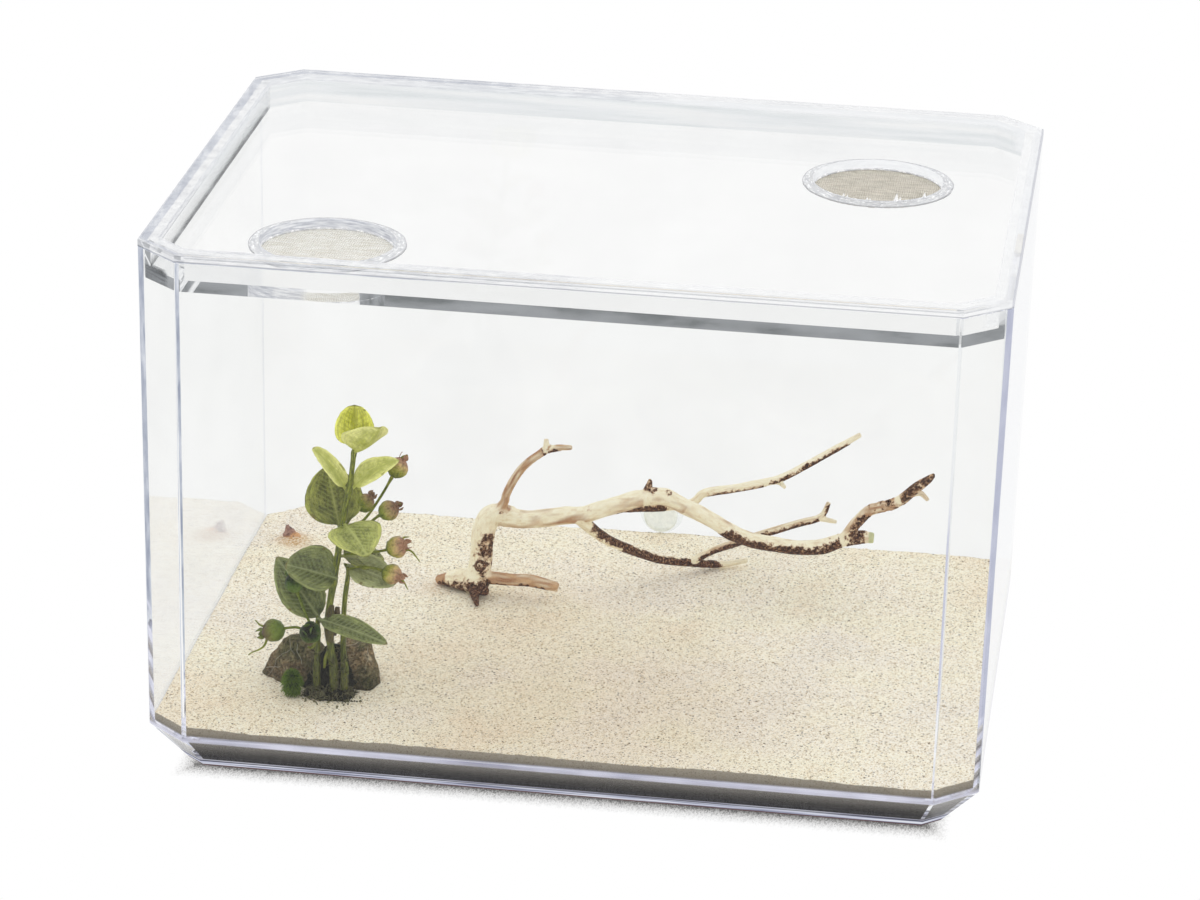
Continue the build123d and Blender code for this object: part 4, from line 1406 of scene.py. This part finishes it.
def blade(shape, start, along, facing, length, width, droop, fold, cells,
          thickness=leaf_thickness, petiole=petiole_width, wave=0.6, pointed=0.72, seed=0.0, **values):
    """A thin folded leaf from its stalk to its tip, with a midrib, side veins and a wavy margin."""
    rows, columns = cells
    along = unit(along)
    normal = unit(facing - along * along.dot(facing))
    side = np.cross(normal, along)
    shares = np.linspace(0, 1, rows)[:, None]
    across = np.linspace(-1, 1, columns)[None]
    bend = np.radians(droop) * shares
    middle = (bend[1:] + bend[:-1]) / 2
    steps = (np.cos(middle) * along - np.sin(middle) * normal) * length / (rows - 1)
    spine = start + np.vstack([np.zeros(3), np.cumsum(steps, axis=0)])
    up = np.cos(bend) * normal + np.sin(bend) * along

    open_share = np.clip((shares - petiole_share) / (1 - petiole_share), 0, 1)
    swell = np.sin(math.pi * open_share**0.74) ** pointed
    half = np.maximum(width * swell, petiole * (1 - shares) ** 0.3) / 2
    half[-1] = tip_half_width
    offset = half * across
    crease = np.sqrt(across**2 + 0.012) - 0.11
    reach = shares * length
    flow = np.stack(np.broadcast_arrays(offset + seed * 17, reach, 0.0), axis=2)

    def speckled(size, shift):
        return wobble(flow.reshape(-1, 3), size, shift).reshape(offset.shape)

    outward = np.abs(across)
    is_blade = step_up(open_share, 0.02, 0.16)
    count = (reach - np.abs(offset) * 0.8) / vein_gap
    side_vein = np.exp(-(((count - np.round(count)) * vein_gap / 0.26) ** 2)) * (1 - outward**3)
    vein = np.maximum(side_vein * 0.75 * is_blade, np.exp(-((offset / 0.42) ** 2)))
    edge = np.maximum(outward**3 * is_blade, step_up(shares, 0.9, 1.0))
    spots = step_up(speckled(2.2, seed + 8), 0.42, 0.55) * (outward > 0.8) * is_blade
    mark = np.maximum(spots, step_up(shares, 0.95, 1.0))

    ripple = (speckled(5.5, seed) * wave * outward**1.5 + 0.13 * (vein - 0.3)) * is_blade
    lift = half * crease * math.tan(math.radians(fold)) + ripple
    nick = 0.35 * speckled(1.6, seed + 4) * outward**6 * is_blade * np.sign(across) * wave
    flat = spine[:, None] + side * (offset + nick)[:, :, None]
    thick = thickness * (0.3 + 0.7 * np.sqrt(1 - across**2))
    top, base = [flat + up[:, None] * (lift + way * thick / 2)[:, :, None] for way in (1, -1)]

    def closed(upper, lower):
        """Each row's top from side to side and its base back again, as one list."""
        return np.concatenate([upper, lower[:, ::-1]], axis=1).reshape(-1, *upper.shape[2:])

    numbers = np.arange(rows * columns * 2).reshape(rows, -1)
    upper, lower = numbers[:, :columns], numbers[:, columns:][:, ::-1]
    stalk_end = net([lower[0], upper[0]])[:-1]
    tip_end = net([lower[-1], upper[-1]], flipped=True)[:-1]
    grids = {"vein": vein, "edge": edge, "mark": mark, "lane": across * np.ones_like(shares), "flow": flow}
    values |= {key: closed(grid, grid) for key, grid in grids.items()}
    shape.add(closed(top, base), net(numbers) + stalk_end + tip_end, **values)


def stem_place(name, height):
    """The middle of a stem at a height above the sand, and its radius there."""
    line = smooth_route(stems[name], 0.5)
    row = line[np.argmin(np.abs(line[:, 2] - height))]
    return plant_place + row[:3], row[3] / 2


def add_stems():
    """Stems with ridges along them and a swelling where each leaf leaves."""
    looks = solid("stem", stem_looks)
    turn = turns(stem_sides)
    for number, (name, points) in enumerate(stems.items()):
        line = smooth_route(points, 0.6)
        height = line[:, 2]
        radius = line[:, 3] / 2 * (0.94 + stem_swell * step_up(-height, -26, -8))
        for stem, leaf_height, *_ in leaves.values():
            if stem == name:
                radius *= 1 + 0.16 * np.exp(-(((height - leaf_height + 1) / 1.3) ** 2))
        radius[-3:] *= (0.9, 0.7, 0.3)
        relief = 1 + 0.05 * np.cos(turn * 5) + 0.05 * np.sin(height[:, None] * 0.4 + turn * 2 + number)
        shape = Shape()
        foot = step_up(-height, -28, -10)
        tube(shape, line[:, :3] + plant_place, radius, stem_sides, relief, foot=foot)
        for sprig, dry in sprigs[name]:
            twig = smooth_route(sprig, 0.6)
            tube(shape, twig[:, :3] + plant_place, twig[:, 3] / 2, sides=9, foot=dry, dry=dry)
        shape.make(f"{name}_ridged", looks, "plant", "stem_green", name)


def add_leaves():
    """Every leaf on its stem, close to the place and angle that its CAD node has."""
    looks = {finish: solid(f"leaf_{finish}", leaf_looks, *tones) for finish, tones in leaf_finishes.items()}
    for number, (name, leaf) in enumerate(leaves.items()):
        stem, height, way, faces, length, width, droop, fold, finish, pointed = leaf
        along = heading(*way)
        centre, radius = stem_place(stem, height)
        level = unit((along[0], along[1], 0))
        start = centre + level * (radius + leaf_gap + cad_leaf_thickness * abs(along[2]) - leaf_sunk)
        start += leaf_shifts.get(name, (0, 0, 0))
        shape = Shape()
        blade(
            shape, start, along, heading(*faces), length + leaf_sunk, width, droop, fold, leaf_cells,
            pointed=pointed, seed=number + 1.0,
        )
        slot = "leaf_yellow_green" if finish in yellow_finishes else "leaf_grey_green"
        shape.make(f"{name}_veined", looks[finish], "plant", slot, name)


# Buds: points of the stalk about the plant's place, the bud's diameter, 1 for a young one, dark green
# with painted shade in its opening, and its tendrils as (azimuth, elevation, length)
buds = {
    "bud_upper_back": (
        [(4.4, 4.7, 60.5), (11, 6.5, 66), (16.5, 8.5, 74.5), (21.5, 13, 84)], 6.8, 0,
        [(20, 60, 3.5)],
    ),
    "bud_upper_middle": ([(2.6, 5.3, 60), (5.5, 9.5, 65), (9.8, 13, 69.5)], 6.2, 0.4, []),
    "bud_upper_right": (
        [(5.1, 3.2, 59), (12, 4.5, 64.5), (16, 5, 68), (20, 5, 70.5)], 6.6, 0.35, [(10, 40, 2.5)],
    ),
    "bud_middle_right": (
        [(4.1, 3.4, 53), (12, 5, 53.5), (18, 3.5, 55.5), (23.5, 2, 58)], 7, 0, [(-15, -12, 6.5), (30, 45, 3)],
    ),
    "bud_left_back": ([(-6, -3.6, 26.5), (-8.5, -2.5, 31), (-11, -1, 36), (-13.5, 0.5, 41.5)], 6.2, 1, []),
    "bud_low_left": (
        [(-6, -3.3, 23), (-11, -2.5, 25.5), (-15, -2, 25), (-20.5, -2, 23.3)], 7.4, 0.75,
        [(170, 25, 5), (200, -45, 8.5)],
    ),
    "bud_low_front": ([(-4.6, -5.4, 22.5), (-5, -6.2, 24.8), (-5.4, -9.5, 27.3)], 7, 1, []),
    "bud_lower_right": (
        [(5.2, 4, 47), (10, 2.5, 49), (16, 0.5, 49.8), (22.4, -1, 48.6)], 6.6, 0, [(-10, -30, 4.5)],
    ),
}

# A bud's width along its length, both as shares of its diameter
bud_swell = np.array([(-0.5, 0.3), (-0.36, 0.72), (-0.1, 1), (0.15, 0.97), (0.38, 0.66), (0.5, 0.25)])
bud_fullness = 1.1
bud_sides = 30
petals = 5
sepals = 4
sepal_cells = (9, 5)
petal_tips = 3
petal_cells = (8, 5)


def add_bud_body(shape, centre, ahead, diameter, young, seed):
    """A round bud of overlapping petals, with a crease between each two."""
    shares = np.linspace(-0.5, 0.5, 20)
    wide = np.interp(shares, *bud_swell.T)
    wide = np.convolve(np.pad(wide, 1, mode="edge"), (0.25, 0.5, 0.25), mode="valid")
    line = centre + np.outer(shares * diameter, ahead)
    turn = turns(bud_sides)
    twist = turn + shares[:, None] * 0.9 + seed
    near = np.abs((twist * petals / (2 * math.pi)) % 1 - 0.5) * 2
    crease = np.exp(-(((1 - near) / 0.14) ** 2)) * step_up(shares, -0.25, 0.2)[:, None]
    relief = 1 - 0.13 * crease + 0.05 * (1 - near) + 0.04 * np.sin(turn * 3 + seed)
    tip = (shares + 0.5) * 0.85
    tube(shape, line, wide * diameter / 2, bud_sides, relief, tip=tip, crease=crease, young=young)


def add_bud_leaflets(shape, centre, ahead, diameter, young, seed):
    """Sepals that hug the bud's foot and ragged petal tips where it opens."""
    guide = np.array((0, 0, 1.0)) if abs(ahead[2]) < 0.8 else np.array((0, 1.0, 0))
    side = unit(np.cross(ahead, guide))
    other = np.cross(ahead, side)
    for i in range(sepals):
        turn = seed + i * 2 * math.pi / sepals
        out = side * math.cos(turn) + other * math.sin(turn)
        start = centre - ahead * diameter * 0.46 + out * diameter * 0.12
        blade(
            shape, start, ahead * 0.45 + out, ahead - out * 0.3, diameter * 0.62, diameter * 0.4,
            -75, -14, sepal_cells, thickness=0.28, petiole=0.8, wave=0.2, seed=seed + i,
            tip=0.1, young=max(young, 0.35),
        )
    for i in range(petal_tips):
        turn = seed * 2 + i * 2 * math.pi / petal_tips
        out = side * math.cos(turn) + other * math.sin(turn)
        start = centre + ahead * diameter * 0.4 + out * diameter * 0.12
        blade(
            shape, start, ahead + out * 0.5, out - ahead * 0.2, diameter * 0.38, diameter * 0.32,
            40, 20, petal_cells, thickness=0.24, petiole=0.9, wave=0.3, seed=seed + i + 5,
            tip=0.9 if young < 0.5 else 0.35, young=young,
        )


def add_tendril(shape, start, way, length, young):
    """A thin curled thread."""
    shares = np.linspace(0, 1, 14)
    curl = np.outer(np.sin(shares * 4.2) * length * 0.16, unit(np.cross(way, (0.3, 1, 0.2))))
    drop = np.outer(shares**2 * length * 0.18, (0, 0, -1))
    line = start + np.outer(shares * length, way) + curl + drop
    tube(shape, line, np.linspace(0.56, 0.2, len(shares)), sides=6, tip=0.2, young=young)


def add_buds():
    looks = solid("bud", bud_looks)
    for number, (name, (stalk, diameter, young, tendrils)) in enumerate(buds.items()):
        points = np.array(stalk) + plant_place
        centre = points[-1]
        ahead = unit(points[-1] - points[-2])
        shape = Shape()
        foot = centre - ahead * diameter * 0.47
        line = smooth_route(np.vstack([points[:-1], foot]), 0.5)
        swell = stalk_radius * (1 + 0.5 * step_up(np.linspace(0, 1, len(line)), 0.85, 1))
        tube(shape, line, swell, sides=9, tip=0.1, young=young * 0.4)
        for add_part in (add_bud_body, add_bud_leaflets):
            add_part(shape, centre, ahead, diameter * bud_fullness, young, number * 1.3)
        for azimuth, elevation, length in tendrils:
            out = heading(azimuth, elevation)
            add_tendril(shape, centre + out * diameter * 0.42, out, length, young * 0.4)
        shape.make(f"{name}_petals", looks, "plant", "bud", name)


add_stems()
add_leaves()
add_buds()

# Vent screens and their glue

# Both screens are the same steel: the left one's lighter tones and the right one's darker ones are painted
# light and shade
wire_tones = {
    "left": ((236, 232, 221), (255, 254, 249)),
    "right": ((202, 196, 181), (236, 230, 217)),
}
wire_pitch = 0.8
wire_half_width = 0.33
wire_half_height = 0.09
weave_lift = 0.1
glue_gap = 0.02
glue_width = 4
glue_steps = 300
plate_below_rim = 10.7
plate_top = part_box("lid")[1].z / mm - plate_below_rim

# White beads of glue squeezed up at the near edge of a vent: how far across its middle, and height
glue_beads = {
    "left": [],
    "right": [(-11, 0.8), (-9.6, 0.5), (-2.2, 0.7), (-1.2, 0.4), (8.3, 2.4), (9.6, 1.0), (18, 1.3)],
}


def add_screen(side):
    """A plain weave of wires, cut to a disc."""
    middle, half = box_of(f"vent_mesh_{side}")
    radius = half[0]
    shape = Shape()
    lines = int(radius / wire_pitch)
    for across in (0, 1):
        for number in range(-lines, lines + 1):
            place = number * wire_pitch
            half_steps = int(math.sqrt(max(radius**2 - place**2, 0)) / (wire_pitch / 2))
            if half_steps < 2:
                continue
            steps = np.arange(-half_steps, half_steps + 1)
            points = np.zeros((len(steps), 3))
            points[:, across] = steps * wire_pitch / 2
            points[:, 1 - across] = place
            points[:, 2] = weave_lift * np.cos(steps * math.pi / 2) * (1 if (number + across) % 2 else -1)
            tube(shape, points + middle, wire_half_width, sides=4, flat=wire_half_height / wire_half_width)
    looks = solid(f"wire_{side}", wire_looks, *wire_tones[side])
    shape.make(f"vent_weave_{side}", looks, "lid", "woven_steel", f"vent_mesh_{side}")


def glue_profile(way, ragged, outer, base, top):
    """The ring's section at one side of the hole, as pairs of radius and height."""
    hole = outer - glue_width
    soft = noise.noise(way * 5 + Vector((ragged, 0, 0)))
    sharp = noise.noise(way * 22 + Vector((0, ragged, 0)))
    front = max(0.0, -way.y) * ragged
    squeeze = max(0.05, 0.1 + 0.25 * soft + front * max(0, sharp + 0.25) * 3.2)
    lip = 0.2 + 0.35 * max(0, soft + sharp * 0.6)
    edge = outer - 0.25 + 0.25 * soft
    return [
        (edge, top), (edge - 0.5, top), (outer - 1.2, top), (hole + 1.2, top), (hole + 0.05, top),
        (hole - 0.12, top + lip), (hole - 0.12 - squeeze * 0.4, top + lip * 0.9),
        (hole - 0.2 - squeeze * 0.8, top - 0.2), (hole - 0.2 - squeeze, base + 0.05),
        (hole - squeeze * 0.7, base), (outer - 1.2, base), (edge, base),
    ]


def add_glue(side, ragged):
    """The ring of glue under the plate, with a lip that was squeezed up at the hole's edge."""
    middle, half = box_of(f"vent_glue_ring_{side}")
    outer = half[0]
    base = middle[2] - half[2] + glue_gap
    top = middle[2] + half[2] - glue_gap
    rings = []
    flows = []
    for turn in turns(glue_steps):
        way = Vector((math.cos(turn), math.sin(turn), 0))
        profile = glue_profile(way, ragged, outer, base, top)
        rings.append([(middle[0] + r * way.x, middle[1] + r * way.y, z) for r, z in profile])
        flows.append([(way.x * 9, way.y * 9, r * 1.3 + z * 0.5) for r, z in profile])
    numbers = np.arange(glue_steps * len(rings[0])).reshape(glue_steps, -1)
    rim = np.zeros(numbers.shape)
    rim[:, (0, -1)] = 1
    faces = net([*numbers, numbers[0]], flipped=True)
    shape = Shape(rings, faces, flow=np.reshape(flows, (-1, 3)), rim=rim.ravel(), bead=0)
    hole = outer - glue_width
    for across, tall in glue_beads[side]:
        back = math.sqrt(hole**2 - across**2) - 0.3
        foot = (middle[0] + across, middle[1] - back, plate_top - 1)
        line = foot + np.outer(np.linspace(0, 1, 6), (0.3, 0.8, tall + 1))
        radii = (0.5 + 0.25 * tall) * np.array((1, 0.95, 0.7, 0.5, 0.3, 0.05))
        tube(shape, line, radii, sides=7, flat=0.5, bead=1)
    shape.make(f"vent_glue_{side}", glue_material(), "lid", "clear_glue", f"vent_glue_ring_{side}")


add_screen("left")
add_screen("right")
add_glue("left", 0.15)
add_glue("right", 0.9)

# Port plug

plug_clearance = 0.08
head_overhang = 1.8
plug_sides = 64


def add_stopper():
    """The stopper: a dished nose, a shank in the port and a rounded head behind the wall."""
    middle, half = box_of("port_plug")
    head = half[0]
    shank = head - head_overhang - plug_clearance
    nose = middle[1] - half[1]
    back = middle[1] + half[1]
    profile = np.array([
        (shank * 0.5, nose + 0.5), (shank * 0.74, nose + 0.35), (shank * 0.84, nose + 0.05),
        (shank * 0.92, nose), (shank - 0.12, nose + 0.15), (shank, nose + 0.6), (shank, back - 3.1),
        (shank + 0.2, back - 3), (head - 0.5, back - 3), (head, back - 2.4), (head, back - 0.8),
        (head - 0.25, back - 0.2), (head - 0.8, back), (shank * 0.8, back), (shank * 0.7, back - 0.35),
    ])
    radius, depth = profile.T[:, :, None]
    turn = turns(plug_sides)
    x = middle[0] + radius * np.cos(turn)
    z = middle[2] + radius * np.sin(turn)
    rings = np.stack(np.broadcast_arrays(x, depth, z), axis=2)
    dish = (middle[0], nose + 0.55, middle[2])
    hollow = (middle[0], back - 0.45, middle[2])
    stopper = Shape(*capped(rings, dish, hollow))
    stopper.make("port_stopper", stopper_material(), "plug", "soft_stopper", "port_plug")


add_stopper()

# Tank and lid keep their CAD shape
for name, material in (("tank", tank_material()), ("lid", lid_material())):
    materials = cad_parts[name].data.materials
    materials.clear()
    materials.append(material)

scene.view_settings.view_transform = "Standard"
scene.cycles.max_bounces = 16
scene.cycles.transmission_bounces = 16
scene.cycles.glossy_bounces = 12
scene.cycles.transparent_max_bounces = 24
